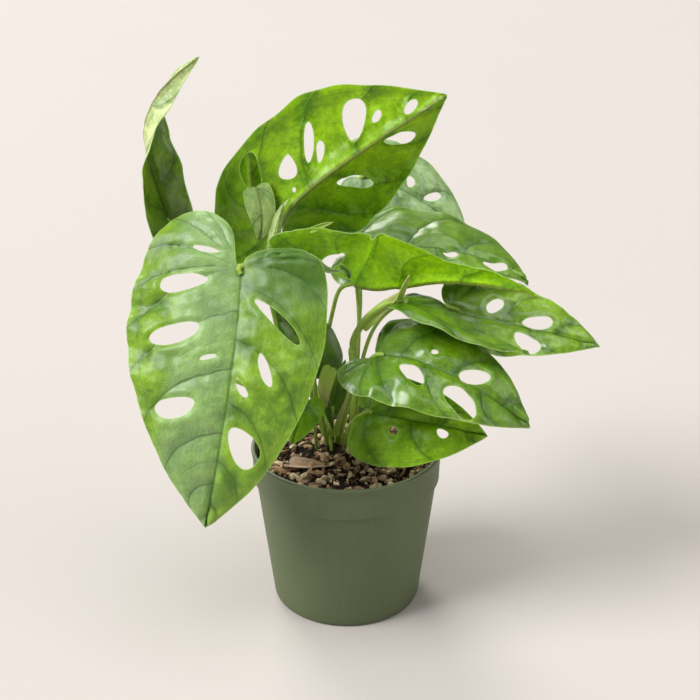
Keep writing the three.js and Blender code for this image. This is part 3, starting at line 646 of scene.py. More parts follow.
def blade(name, leaf, holes, looks, finishes, seed):
    """Leaf blade with both faces, relief between its veins, and a narrow rim."""
    spacing = looks.spacing / MM
    outline = leaf.outline(spacing)
    rib_y = np.arange(0.5, leaf.length - 1, spacing * 0.8)
    rib_rows = np.vstack([np.stack([np.full_like(rib_y, x), rib_y], 1) for x in (0, 0.9, -0.9)])
    cuts = [hole_outline(spacing * 0.8, *hole) for hole in holes]
    flat, triangles, depth = sheet(outline, cuts, spacing, rib_rows)
    x, y = flat.T
    side = np.where(x >= 0, 1, -1)
    tau, t = np.zeros(len(x)), np.zeros(len(x))
    for half in (1, -1):
        own = side == half
        tau[own], t[own] = leaf.place(flat[own], half)
    vein = leaf.length / (looks.vein_gap / MM) * (tau - 0.05 * t ** 3)
    middle = leaf.bend(x, y, side)
    swell = np.abs(np.sin(math.pi * (vein + 0.25 * side))) ** 0.7 * step(0.02, 0.25, t)
    swell *= (1 - step(0.75, 1, t)) * step(4, 26, np.hypot(x, y))
    bumpy = min(1, leaf.width.mean() / 25)
    relief = looks.relief / MM * (swell - 0.5) + BROAD_LUMPS * lumps(x, y, seed, BROAD_SIZE)
    relief += FINE_LUMPS * lumps(x, y, seed + 40, FINE_SIZE)
    relief -= RIB_GROOVE * np.exp(-(x / GROOVE_WIDTH) ** 2)
    if cuts:
        gap = nearest(flat, np.vstack(cuts))[1]
        relief += HOLE_RING * np.exp(-((gap - RING_DISTANCE) / RING_WIDTH) ** 2)
        relief -= HOLE_LIP * np.exp(-(gap / LIP_WIDTH) ** 2)
    relief *= bumpy
    middle = middle + normals_of(middle, triangles) * relief[:, None]
    normal = normals_of(middle, triangles)
    thick = looks.thickness / MM * (0.55 + 0.45 * step(0, 3, depth)) / 2
    ridge = np.exp(-(x / RIDGE_WIDTH) ** 2) * RIB_RIDGE
    ridge *= (1 - np.clip(y / leaf.length, 0, 1)) ** 1.5
    upper = middle + normal * thick[:, None]
    lower = middle - normal * (thick + ridge)[:, None]
    count = len(flat)
    walls = [(b, a, a + count, b + count) for a, b in border(triangles)]
    faces = triangles.tolist() + (triangles[:, ::-1] + count).tolist() + walls
    kinds = [0] * len(triangles) + [1] * len(triangles) + [2] * len(walls)
    face_side = np.where(flat[triangles].mean(1)[:, 0] >= 0, 0.25, -0.25)
    shift = np.r_[np.repeat(face_side, 3), np.repeat(face_side, 3), np.zeros(4 * len(walls))]
    corners = np.concatenate([np.asarray(face) % count for face in faces])
    layers = {
        "veins": np.stack([vein[corners] + shift, t[corners]], 1),
        "flat": np.stack([x[corners] / 10, y[corners] / 10], 1),
        "edge": np.stack([depth[corners], np.zeros(len(corners))], 1),
    }
    return new_object(name, np.vstack([upper, lower]), faces, finishes, kinds, layers)


def tube(path, radii, sides, section=None):
    """Closed round body along a row of points, with its corner UVs. section scales the radius
    round the tube by angle."""
    path = np.asarray(path, float)
    along = unit(np.gradient(path, axis=0))
    across = unit(np.cross(along[0], (0, 1, 0)))
    rings = []
    angle = np.linspace(0, 2 * math.pi, sides, endpoint=False)
    shape = np.ones(sides) if section is None else section(angle)
    for centre, ahead, radius in zip(path, along, radii):
        across = unit(across - across.dot(ahead) * ahead)
        up = np.cross(ahead, across)
        rings.append(centre + radius * shape[:, None]
                     * (np.cos(angle)[:, None] * across + np.sin(angle)[:, None] * up))
    points = np.vstack([*rings, path[:1], path[-1:]])
    faces, uvs = [], []
    run = lengths(path) / 10
    for i in range(len(path) - 1):
        for k in range(sides):
            j = (k + 1) % sides
            faces.append((i * sides + k, i * sides + j, (i + 1) * sides + j,
                          (i + 1) * sides + k))
            uvs += [(k / sides, run[i]), ((k + 1) / sides, run[i]),
                    ((k + 1) / sides, run[i + 1]), (k / sides, run[i + 1])]
    foot, tip = len(points) - 2, len(points) - 1
    last = (len(path) - 1) * sides
    for k in range(sides):
        j = (k + 1) % sides
        faces += [(foot, j, k), (tip, last + k, last + j)]
        uvs += [(0.5, run[0])] * 3 + [(0.5, run[-1])] * 3
    return points, faces, uvs


def lathe(profile, segments):
    """Rings of points about +Z from [radius, height] pairs, and the faces between them."""
    angle = np.linspace(0, 2 * math.pi, segments, endpoint=False)
    circle = np.stack([np.cos(angle), np.sin(angle)], 1)
    points = np.vstack([np.column_stack([r * circle, np.full(segments, z)]) for r, z in profile])
    faces = [(i * segments + k, i * segments + (k + 1) % segments,
              (i + 1) * segments + (k + 1) % segments, (i + 1) * segments + k)
             for i in range(len(profile) - 1) for k in range(segments)]
    return points, faces


def closed_lathe(profile, segments, spacing, holes, height):
    """Turned body whose two ends are flat sheets with round holes through both of them, the
    first looking down and the last looking up. height lifts the last one by x and y."""
    points, faces = lathe(profile, segments)
    angle = np.linspace(0, 2 * math.pi, segments, endpoint=False)
    circle = np.stack([np.cos(angle), np.sin(angle)], 1)
    hole_rims = []
    for ring, looking_up in ((0, False), (len(profile) - 1, True)):
        radius, z = profile[ring]
        flat, triangles, _ = sheet(radius * circle, holes, spacing)
        order = np.where(np.abs(np.hypot(*flat.T) - radius) < 1e-4)[0]
        turn = np.arctan2(flat[order, 1], flat[order, 0]) * segments / (2 * math.pi)
        number = np.arange(len(flat)) + len(points)
        number[order] = ring * segments + np.round(turn).astype(int) % segments
        lift = height(*flat.T) if looking_up and height else np.full(len(flat), z)
        points = np.vstack([points, np.column_stack([flat, lift])])
        turned = triangles if looking_up else triangles[:, ::-1]
        faces += number[turned].tolist()
        hole_rims.append([number[nearest(rim, flat)[0]] for rim in holes])
    for below, above in zip(*hole_rims):
        for k, _ in enumerate(below):
            j = (k + 1) % len(below)
            faces.append((below[j], below[k], above[k], above[j]))
    used = sorted({corner for face in faces for corner in face})
    number = {old: new for new, old in enumerate(used)}
    return points[used], [tuple(number[corner] for corner in face) for face in faces]


def arc(centre, radius, start, end, count):
    """Points of a round stretch of a profile, with angles in degrees from +X."""
    angle = np.radians(np.linspace(start, end, count))
    return [(centre[0] + radius * math.cos(a), centre[1] + radius * math.sin(a)) for a in angle]


class PotSettings(PropertyGroup):
    height: FloatProperty(name="Height", description="Height of the pot", default=0.095,
                          unit="LENGTH", subtype="DISTANCE")
    rim_radius: FloatProperty(name="Rim Radius", description="Outer radius of the lip",
                              default=0.054, unit="LENGTH", subtype="DISTANCE")
    base_radius: FloatProperty(name="Base Radius", description="Outer radius at the base",
                               default=0.042, unit="LENGTH", subtype="DISTANCE")
    wall: FloatProperty(name="Wall", description="Thickness of the wall", default=0.0018,
                        unit="LENGTH", subtype="DISTANCE")
    floor: FloatProperty(name="Floor", description="Thickness of the floor", default=0.0024,
                         unit="LENGTH", subtype="DISTANCE")
    band_bottom: FloatProperty(name="Band Bottom", description="Lower edge of the rim band",
                               default=0.0765, unit="LENGTH", subtype="DISTANCE")
    band_step: FloatProperty(name="Band Step", description="How far the band stands out",
                             default=0.0013, unit="LENGTH", subtype="DISTANCE")
    drain_holes: IntProperty(name="Drain Holes", description="Holes in the floor", default=6)
    colour: FloatVectorProperty(name="Colour", description="Colour of the plastic",
                                default=(0.101, 0.132, 0.056), subtype="COLOR")

    def wall_radius(self, z):
        """Outer radius of the tapered wall in millimetres, below the band."""
        top = (self.rim_radius - self.band_step) / MM - 1.2
        base = self.base_radius / MM
        return base + (top - base) * z / (self.band_bottom / MM)


class SoilSettings(PropertyGroup):
    centre: FloatProperty(name="Centre Height", description="Height in the middle of the pot",
                          default=0.0895, unit="LENGTH", subtype="DISTANCE")
    edge: FloatProperty(name="Edge Height", description="Height beside the wall",
                        default=0.0865, unit="LENGTH", subtype="DISTANCE")
    bark: IntProperty(name="Bark Chips", description="Number of bark chips", default=260)
    perlite: IntProperty(name="Perlite Grains", description="Number of pale grains", default=330)
    crumbs: IntProperty(name="Crumbs", description="Number of dark crumbs", default=900)
    colour: FloatVectorProperty(name="Peat", description="Colour of the peat",
                                default=(0.012, 0.007, 0.004), subtype="COLOR")
    bark_colour: FloatVectorProperty(name="Bark", description="Colour of the bark chips",
                                     default=(0.26, 0.15, 0.085), subtype="COLOR")
    perlite_colour: FloatVectorProperty(name="Perlite", description="Colour of the pale grains",
                                        default=(0.95, 0.73, 0.47), subtype="COLOR")


class LeafSettings(PropertyGroup):
    spacing: FloatProperty(name="Spacing", description="Distance between mesh points",
                           default=0.0012, unit="LENGTH", subtype="DISTANCE")
    thickness: FloatProperty(name="Thickness", description="Thickness of a blade",
                             default=0.0006, unit="LENGTH", subtype="DISTANCE")
    relief: FloatProperty(name="Relief", description="Swelling between the side veins",
                          default=0.0018, unit="LENGTH", subtype="DISTANCE")
    vein_gap: FloatProperty(name="Vein Gap", description="Distance between side veins",
                            default=0.0125, unit="LENGTH", subtype="DISTANCE")
    deep: FloatVectorProperty(name="Deep Green", description="Upper side of the lower leaves",
                              default=(0.115, 0.26, 0.002), subtype="COLOR")
    pale: FloatVectorProperty(name="Pale Green", description="Upper side of the outer leaves",
                              default=(0.17, 0.34, 0.008), subtype="COLOR")
    fresh: FloatVectorProperty(name="Fresh Green", description="Upper side of the young leaves",
                               default=(0.172, 0.35, 0.002), subtype="COLOR")
    underside: FloatVectorProperty(name="Underside", description="Lower side of the leaves",
                                   default=(0.24, 0.48, 0.003), subtype="COLOR")
    # Pale lower side of the curled leaf, made paler still by a painted sheen.
    pale_underside_and_sheen: FloatVectorProperty(name="Pale_Underside_And_Sheen", description="Pale lower side of the curled leaf",
                               default=(0.52, 0.66, 0.34), subtype="COLOR")
    # Colour of a painted sheen, a pale highlight laid in a band beside one half of a midrib.
    painted_sheen: FloatVectorProperty(name="Painted_Sheen", description="Painted band beside a midrib",
                               default=(0.33, 0.5, 0.22), subtype="COLOR")
    # Upper side of the rear leaf, paled to a bluish green by a painted sheen; the curled edge at the
    # arched leaf's hole wears it too.
    painted_sheen_green: FloatVectorProperty(name="Hazy Green", description="Bluish green of the rear leaf",
                              default=(0.27, 0.43, 0.2), subtype="COLOR")
    rim: FloatVectorProperty(name="Rim", description="Thin pale edge of a leaf",
                             default=(0.42, 0.58, 0.16), subtype="COLOR")


class StemSettings(PropertyGroup):
    colour: FloatVectorProperty(name="Green", description="Colour of the stalks",
                                default=(0.34, 0.5, 0.07), subtype="COLOR")
    knot: FloatVectorProperty(name="Knot", description="Colour of the leaf scars",
                              default=(0.6, 0.58, 0.34), subtype="COLOR")
    sheath: FloatVectorProperty(name="Sheath", description="Colour of the ageing sheaths",
                                default=(0.45, 0.48, 0.16), subtype="COLOR")
    fresh_sheath: FloatVectorProperty(name="Fresh Sheath", description="Colour of young sheaths",
                                      default=(0.5, 0.66, 0.24), subtype="COLOR")
    lobe: FloatVectorProperty(name="Loose Lobe", description="Colour of small folded lobes",
                              default=(0.36, 0.53, 0.2), subtype="COLOR")
    dry: FloatVectorProperty(name="Dry", description="Colour of dried scraps",
                             default=(0.55, 0.36, 0.24), subtype="COLOR")


class StudioSettings(PropertyGroup):
    camera: FloatVectorProperty(name="Camera", description="Place of the camera",
                                default=(0.002, -0.728, 0.479), unit="LENGTH",
                                subtype="TRANSLATION")
    pitch: FloatProperty(name="Pitch", description="How far the camera looks down",
                         default=math.radians(24.1), unit="ROTATION", subtype="ANGLE")
    focal: FloatProperty(name="Focal Length", description="In pixels of a 700 pixel frame",
                         default=1450)
    floor: FloatVectorProperty(name="Floor", description="Colour of the floor",
                               default=(0.53, 0.485, 0.45), subtype="COLOR")
    sky: FloatProperty(name="Sky", description="Brightness of the surroundings", default=0.15)


class VineSettings(PropertyGroup):
    pot: PointerProperty(type=PotSettings)
    soil: PointerProperty(type=SoilSettings)
    leaf: PointerProperty(type=LeafSettings)
    stem: PointerProperty(type=StemSettings)
    studio: PointerProperty(type=StudioSettings)


def pot_plastic(colour):
    """Matt moulded plastic with faint upright flow marks and dust."""
    finish = Finish("pot_plastic")
    place = finish.place()
    flow = finish.noise(finish.stretched(place, (260, 260, 18)), 1, 3)
    cloud = finish.noise(place, 45, 4, 0.6)
    grain = finish.noise(place, 1900, 2)
    dust = finish.noise(place, 420, 4, 0.7).rise(0.62, 0.8)
    tone = cloud * 0.6 + flow * 0.4
    body = finish.mix(tone, [c * 0.82 for c in colour], [c * 1.18 for c in colour])
    body = finish.mix(dust * 0.3, body, (0.34, 0.36, 0.27))
    height = grain * 0.35 + flow * 0.3 + cloud * 0.35
    return finish.surface(
        base_color=body, roughness=0.44 + 0.14 * cloud,
        normal=finish.bump(height, 0.00012), specular_ior_level=0.45)


def peat(colour):
    """Dark damp peat with fibres and crumbs."""
    finish = Finish("peat")
    place = finish.place()
    coarse = finish.noise(place, 330, 5, 0.65)
    fine = finish.noise(place, 1500, 4, 0.7)
    fleck = finish.noise(place, 700, 3).rise(0.66, 0.74)
    body = finish.mix(coarse, [c * 0.45 for c in colour], [c * 2.2 for c in colour])
    body = finish.mix(fleck * 0.6, body, (0.16, 0.1, 0.06))
    return finish.surface(
        base_color=body, roughness=0.75 + 0.2 * fine, specular_ior_level=0.15,
        normal=finish.bump(coarse * 0.6 + fine * 0.4, 0.0014))


def grain_finish(name, dark, light, scale, relief, smooth):
    """Small loose grains: each has a tone of its own, kept in the grain UV layer."""
    finish = Finish(name)
    tone, _, _ = finish.uv("grain").axes()
    place = finish.place()
    fine = finish.noise(place, scale, 4, 0.65)
    streak = finish.noise(finish.stretched(place, (1.0, 2.6, 1.8)), scale * 0.5, 3)
    body = finish.mix(tone * 0.7 + streak * 0.3, dark, light)
    body = finish.mix(fine.rise(0.55, 0.8) * 0.5, body, [c * 0.45 for c in dark])
    return finish.surface(
        base_color=body, roughness=smooth + 0.2 * fine,
        normal=finish.bump(fine * 0.6 + streak * 0.4, relief))


def leaf_finish(name, colour, underside, rim, gloss, sheen, painted_sheen=None):
    """Face of a leaf: mottled green with a fine net and pale edges, painted light on the swells
    between its side veins, and painted shade in the valleys along them and towards the stalk.

    The sheen colour, when given, is a painted sheen in a band beside the midrib, on one half only.
    """
    finish = Finish(name)
    vein, t, _ = finish.uv("veins").axes()
    flat = finish.uv("flat")
    depth, _, _ = finish.uv("edge").axes()
    x, y, _ = flat.axes()
    warp = finish.noise(flat, 1.1, 2)
    bent = vein + warp * 0.12 - 0.06
    side = abs((bent + 0.5).fraction() - 0.5)
    side_line = 1 - side.rise(0.005, 0.036)
    half_line = 1 - abs((bent * 2 + 0.5).fraction() - 0.5).rise(0.01, 0.06)
    net = 1 - finish.cell_edges(finish.joined(bent * 2.6, t * 11), 1).rise(0.02, 0.12)
    small = 1 - finish.cell_edges(flat, 9).rise(0.03, 0.16)
    rib_line = 1 - abs(x).rise(0.03, 0.1)
    margin_line = 1 - abs(t + warp * 0.04 - 0.92).rise(0.004, 0.014)
    broad = finish.noise(flat, 0.7, 3, 0.55)
    mottle = finish.noise(flat, 3.4, 4, 0.6)
    tone = (broad * 0.6 + mottle * 0.4).rise(0.34, 0.66)
    dark = [c * k for c, k in zip(colour, (0.3, 0.46, 0.2))]
    light = [c * k for c, k in zip(colour, (1.65, 1.42, 1.3))]
    body = finish.mix(tone, dark, light)
    # Painted light on the swells between the side veins, and painted shade in the valleys along
    # them.
    body = finish.mix(side.rise(0.02, 0.4) * 0.45, body, light)
    body = finish.mix((1 - side.rise(0, 0.14)) * 0.3, body, dark)
    # Painted shade towards the stalk end of the blade.
    body = finish.mix((1 - y.rise(-1, 4.5)) * 0.4, body, dark)
    if painted_sheen:
        # Wider painted shade in the valleys along the side veins.
        body = finish.mix((1 - side.rise(0, 0.3)) * 0.45, body, dark)
        body = finish.mix((1 - broad.rise(0.4, 0.55)) * 0.4, body, dark)
        body = finish.mix((1 - depth.rise(1, 8)) * 0.4, body, light)
        # Painted sheen in a band beside the midrib on one half, and painted shade over the lobe end
        # of the other half.
        band = (1 - abs(x - 1.6).rise(1, 2.3)) * (0.3 + 0.55 * broad)
        shaded_lobe = (-1 * x).rise(0, 1.4) * (1 - y.rise(0, 5))
        body = finish.mix(band, body, painted_sheen)
        body = finish.mix(shaded_lobe * 0.85, body, dark)
    lines = (side_line * 0.55).larger(margin_line * 0.35).larger(half_line * 0.2)
    lines = lines.larger(net * 0.22).larger(small * 0.16)
    body = finish.mix(lines, body, [c * 0.3 for c in colour])
    rib = [c * k for c, k in zip(rim, (0.42, 0.34, 0.3))] if underside else dark
    body = finish.mix(rib_line * 0.75, body, rib)
    body = finish.mix((1 - depth.rise(0.2, 0.7)) * 0.4, body, rim)
    raised = -1 if underside else 1
    height = tone * 0.25 + mottle * 0.2 + 0.4 - raised * 0.3 * (
        side_line.larger(net * 0.35).larger(small * 0.3).larger(half_line * 0.5))
    return finish.surface(
        base_color=body, roughness=gloss + 0.2 * mottle,
        normal=finish.bump(height, 0.0014 if painted_sheen else 0.0009, 0.9), specular_ior_level=sheen * 0.5,
        coat_weight=sheen * 1.2, coat_roughness=gloss * 0.75,
        subsurface_weight=0.45, subsurface_radius=(0.55, 1.0, 0.1),
        subsurface_scale=0.0012)


def rim_finish(colour):
    """Thin pale edge of a leaf and of its holes."""
    finish = Finish("leaf_rim")
    flat = finish.uv("flat")
    tone = finish.noise(flat, 2.5, 3)
    body = finish.mix(tone, [c * 0.55 for c in colour], colour)
    return finish.surface(
        base_color=body, roughness=0.5, subsurface_weight=0.4,
        subsurface_radius=(0.6, 1.0, 0.3), subsurface_scale=0.001)


def stalk_finish(name, colour, knot):
    """Green stalk with fine lengthwise ribs and pale specks."""
    finish = Finish(name)
    around, run, _ = finish.uv("run").axes()
    ribs = finish.noise(finish.joined(around * 26, run * 0.8), 1, 2)
    cloud = finish.noise(finish.joined(around * 3, run * 1.6), 1, 3)
    speck = finish.noise(finish.joined(around * 22, run * 12), 1, 2).rise(0.66, 0.74)
    body = finish.mix(cloud, [c * 0.6 for c in colour], [c * 1.5 for c in colour])
    body = finish.mix(ribs * 0.35, body, [c * 0.5 for c in colour])
    body = finish.mix(speck * 0.5, body, knot)
    return finish.surface(
        base_color=body, roughness=0.38 + 0.2 * cloud,
        normal=finish.bump(ribs * 0.7 + speck * 0.3, 0.00025),
        subsurface_weight=0.2, subsurface_radius=(0.6, 1.0, 0.2), subsurface_scale=0.001)


def dry_finish(name, colour, green):
    """Dried papery tissue with dark veins, still green towards one end if green is given."""
    finish = Finish(name)
    vein, t, _ = finish.uv("veins").axes()
    flat = finish.uv("flat")
    _, y, _ = flat.axes()
    fibre = finish.noise(finish.joined(t * 16, vein * 1.5), 1, 3)
    blotch = finish.noise(flat, 4, 4, 0.65)
    body = finish.mix(blotch, [c * 0.5 for c in colour], [min(1, c * 1.5) for c in colour])
    body = finish.mix(fibre.rise(0.45, 0.75) * 0.5, body, [c * 0.35 for c in colour])
    if green:
        body = finish.mix(1 - (y + blotch * 0.8).rise(0.9, 2.2), body, green)
    return finish.surface(
        base_color=body, roughness=0.6 + 0.2 * blotch,
        normal=finish.bump(fibre * 0.6 + blotch * 0.4, 0.0006),
        subsurface_weight=0.2, subsurface_radius=(0.8, 0.6, 0.3), subsurface_scale=0.001)


class VINE_OT_pot(Operator):
    """Build the nursery pot with its band, lip and drain holes"""
    bl_idname = "swiss_vine.pot"
    bl_label = "Pot"

    def execute(self, context):
        pot = context.scene.swiss_vine.pot
        height, rim, base = pot.height / MM, pot.rim_radius / MM, pot.base_radius / MM
        wall, floor, bottom = pot.wall / MM, pot.floor / MM, pot.band_bottom / MM
        band = pot.wall_radius(bottom) + pot.band_step / MM
        foot_round, lip_drop = 2.4, 3.1
        ring, radius = 28, 3.5
        profile = [
            (base - foot_round, 0),
            *arc((base - foot_round, foot_round), foot_round, -80, -12, 6),
            *[(pot.wall_radius(z), z) for z in np.linspace(3, bottom - 0.7, 14)],
            *arc((band - 0.7, bottom + 0.35), 0.7, -75, 0, 5),
            *[(band + (rim - 0.7 - band) * s, bottom + 1 + (height - 4.4 - bottom) * s)
              for s in np.linspace(0, 1, 6)],
            (rim - 0.35, height - lip_drop),
            *arc((rim - 0.95, height - 0.95), 0.95, -40, 90, 9),
            *arc((rim - 1.6, height - 0.9), 0.9, 100, 175, 6),
            *[(pot.wall_radius(z) - wall, z) for z in np.linspace(bottom, floor + 2, 12)],
            *arc((pot.wall_radius(floor) - wall - 1.6, floor + 1.6), 1.6, -20, -80, 5),
            (pot.wall_radius(floor) - wall - 2, floor),
        ]
        around = np.linspace(0, 2 * math.pi, 28, endpoint=False)
        holes = [np.stack([ring * math.cos(a) + radius * np.cos(around),
                           ring * math.sin(a) + radius * np.sin(around)], 1)
                 for a in 2 * math.pi * (np.arange(pot.drain_holes) + 0.5) / pot.drain_holes]
        points, faces = closed_lathe(profile, 160, 2.5, holes, None)
        made = new_object("nursery_pot", points, faces, [pot_plastic(pot.colour)], sharp=50)
        stands_for(made, "pot")
        return {"FINISHED"}


def soil_height(soil, x, y):
    """Height of the soil's top in millimetres, with its lumps."""
    radius = np.hypot(x, y)
    centre, edge = soil.centre / MM, soil.edge / MM
    smooth = centre + (edge - centre) * (radius / 50) ** 2
    inward = 1 - step(44, 49, radius)
    rough = (0.7 * np.sin(0.31 * x + 1) * np.cos(0.27 * y) + 0.9 * lumps(x, y, 3, 7)
             + 0.45 * lumps(x, y, 4, 2.6))
    return smooth + inward * rough


class VINE_OT_soil(Operator):
    """Build the body of the potting mix"""
    bl_idname = "swiss_vine.soil"
    bl_label = "Soil"

    def execute(self, context):
        settings = context.scene.swiss_vine
        pot, soil = settings.pot, settings.soil
        gap, floor, edge = 0.3, pot.floor / MM, soil.edge / MM

        def inner(z):
            return pot.wall_radius(z) - pot.wall / MM - gap

        profile = [
            (inner(floor) - 1.8, floor + gap), (inner(floor + 2), floor + 2),
            *[(inner(z), z) for z in np.linspace(floor + 4, edge - 1, 10)],
            (inner(edge) - 0.4, edge - 0.3),
        ]
        points, faces = closed_lathe(profile, 120, 1.5, [],
                                     lambda x, y: soil_height(soil, x, y))
        made = new_object("potting_mix", points, faces, [peat(soil.colour)], sharp=70)
        stands_for(made, "soil")
        return {"FINISHED"}


def grain_shape(draw, long, flat, cuts):
    """Points of one angular grain about a unit across, from a bent and cut ball."""
    ball = BALL * (1 + draw.uniform(-0.13, 0.13, (len(BALL), 1)))
    for _ in range(cuts):
        normal = unit(draw.normal(size=3))
        over = np.maximum(ball @ normal - draw.uniform(0.45, 0.75), 0)
        ball = ball - over[:, None] * normal
    return ball * (long, 1, flat)


def turned_at_random(draw, points):
    """Turns points by a random rotation."""
    axis, spin = unit(draw.normal(size=3)), draw.uniform(0, 2 * math.pi)
    along = points @ axis
    return (points * math.cos(spin) + np.cross(axis, points) * math.sin(spin)
            + np.outer(along, axis) * (1 - math.cos(spin)))


def grains(name, count, seed, sizes, shape, sink, settings, finish, sharp):
    """One object of loose grains strewn over the soil, clear of the stems."""
    draw = np.random.default_rng(seed)
    stems = np.array([VINE["path"][0][:2]]
                     + [spec["stalk"][0][:2] for spec in LEAVES.values()
                        if spec.get("rooted", True)], float)
    reach = settings.pot.wall_radius(settings.soil.edge / MM) - settings.pot.wall / MM
    points, faces, tones = [], [], []
    while len(points) < count:
        size = sizes[0] + (sizes[1] - sizes[0]) * draw.uniform() ** 2
        radius, angle = (reach - size - 0.5) * math.sqrt(draw.uniform()), draw.uniform(0, 7)
        x, y = radius * math.cos(angle), radius * math.sin(angle)
        if np.hypot(*(stems - (x, y)).T).min() < 1.8 + size:
            continue
        z = float(soil_height(settings.soil, np.array([x]), np.array([y]))[0])
        ball = turned_at_random(draw, grain_shape(draw, *shape) * size)
        lift = -ball[:, 2].min() * (1 - sink)
        start = len(points) * len(BALL)
        points.append(ball + (x, y, z + lift * 0.6))
        faces += (BALL_FACES + start).tolist()
        tones += [(draw.uniform(), 0.5)] * (3 * len(BALL_FACES))
    made = new_object(name, np.vstack(points), faces, [finish], None, {"grain": tones}, sharp)
    stands_for(made, "soil")


def unit_ball():
    """Points and triangles of a once divided icosahedron of radius 1."""
    golden = (1 + math.sqrt(5)) / 2
    corners = unit(np.array([(s * a, t * b, 0) for s in (-1, 1) for t in (-1, 1)
                             for a, b in ((1, golden),)]))
    corners = np.vstack([np.roll(corners, k, axis=1) for k in range(3)])
    distance = np.linalg.norm(corners[:, None] - corners[None], axis=2)
    near = distance < 1.2
    triangles = [(a, b, c) for a in range(12) for b in range(a + 1, 12)
                 for c in range(b + 1, 12) if near[a, b] and near[b, c] and near[a, c]]
    points, faces, middle = corners.tolist(), [], {}

    def between(a, b):
        key = (min(a, b), max(a, b))
        if key not in middle:
            middle[key] = len(points)
            points.append(unit((corners[a] + corners[b]) / 2).tolist())
        return middle[key]

    for a, b, c in triangles:
        ab, bc, ca = between(a, b), between(b, c), between(c, a)
        faces += [(a, ab, ca), (ab, b, bc), (ca, bc, c), (ab, bc, ca)]
    points, faces = np.array(points), np.array(faces)
    p, q, r = (points[faces[:, k]] for k in range(3))
    inward = (np.cross(q - p, r - p) * p).sum(1) < 0
    faces[inward] = faces[inward][:, ::-1]
    return points, faces


BALL, BALL_FACES = unit_ball()


class VINE_OT_grains(Operator):
    """Strew bark chips, pale grains and dark crumbs over the soil"""
    bl_idname = "swiss_vine.grains"
    bl_label = "Chips and Grains"

    def execute(self, context):
        settings = context.scene.swiss_vine
        soil = settings.soil
        bark, perlite = soil.bark_colour, soil.perlite_colour
        grains("soil_crumbs", soil.crumbs, 11, (0.5, 1.5), (1.3, 0.9, 2), 0.4, settings,
               grain_finish("soil_crumb", soil.colour, bark, 1600, 0.0004, 0.7), 30)
        grains("bark_chips", soil.bark, 12, (1.0, 3.0), (1.8, 0.6, 5), 0.3, settings,
               grain_finish("bark_chip", [c * 0.3 for c in bark], [c * 2.6 for c in bark],
                            900, 0.0006, 0.65), 25)
        grains("perlite_grains", soil.perlite, 13, (0.7, 2.9), (1.35, 0.7, 5), 0.25, settings,
               grain_finish("perlite_grain", [c * 0.45 for c in perlite], perlite,
                            1500, 0.0005, 0.75), 30)
        return {"FINISHED"}


def rooted(path):
    """Course of a stem with its root part: straight down under its first point."""
    x, y, z = path[0]
    return [(x, y, z - ROOT_DEPTH), (x, y, z - ROOT_DEPTH / 2), *path]


class VINE_OT_blades(Operator):
    """Build the leaf blades with their holes, veins and pale rims"""
    bl_idname = "swiss_vine.blades"
    bl_label = "Leaf Blades"

    def execute(self, context):
        looks = context.scene.swiss_vine.leaf
        rim = rim_finish(looks.rim)
        faces = {"deep": (looks.deep, [c * 0.7 for c in looks.underside]),
                 "pale": (looks.pale, [c * 0.85 for c in looks.underside]),
                 "fresh": (looks.fresh, [c * 0.9 for c in looks.underside]),
                 # bright: the arched leaf, whose lower side is painted half again as bright, a
                 # painted glow of the light coming through it from behind.
                 "bright": (looks.fresh, [c * 1.5 for c in looks.underside]),
                 # hazy: the rear leaf, whose upper side wears the painted sheen green.
                 "hazy": (looks.painted_sheen_green, looks.underside),
                 # young: the curled leaf, whose pale lower side carries a painted sheen.
                 "young": ([c * 0.75 for c in looks.fresh], looks.pale_underside_and_sheen)}
        glossy = dict(underside=False, rim=looks.rim, gloss=0.34, sheen=0.68)
        upper = {tone: leaf_finish(f"leaf_{tone}_upper", pair[0], **glossy)
                 for tone, pair in faces.items()}
        upper["satin"] = leaf_finish(
            "leaf_satin_upper", looks.pale, underside=False, rim=looks.rim, gloss=0.52,
            sheen=0.55, painted_sheen=looks.painted_sheen)
        # matt: fresh green brightened by a fifth, a painted glow of light coming through the low
        # leaves, with a duller gloss.
        upper["matt"] = leaf_finish(
            "leaf_matt_upper", [c * 1.2 for c in looks.fresh], underside=False, rim=looks.rim,
            gloss=0.46, sheen=0.3)
        dull = dict(underside=True, rim=looks.rim, gloss=0.42, sheen=0.3)
        under = {tone: leaf_finish(f"leaf_{tone}_under", pair[1], **dull)
                 for tone, pair in faces.items()}
        under["satin"], under["matt"] = under["pale"], under["fresh"]
        for seed, (name, spec) in enumerate(LEAVES.items()):
            tone = spec["tone"]
            leaf = Leaf(**spec)
            made = blade(f"{name}_blade", leaf, spec["holes"], looks,
                         [upper[tone], under[tone], rim], seed)
            stands_for(made, name)
        return {"FINISHED"}


def grooved(angle):
    """Section of a leaf stalk, with a shallow groove along its upper side."""
    return 1 - 0.16 * np.exp(-((angle - 1.6) / 0.45) ** 2)


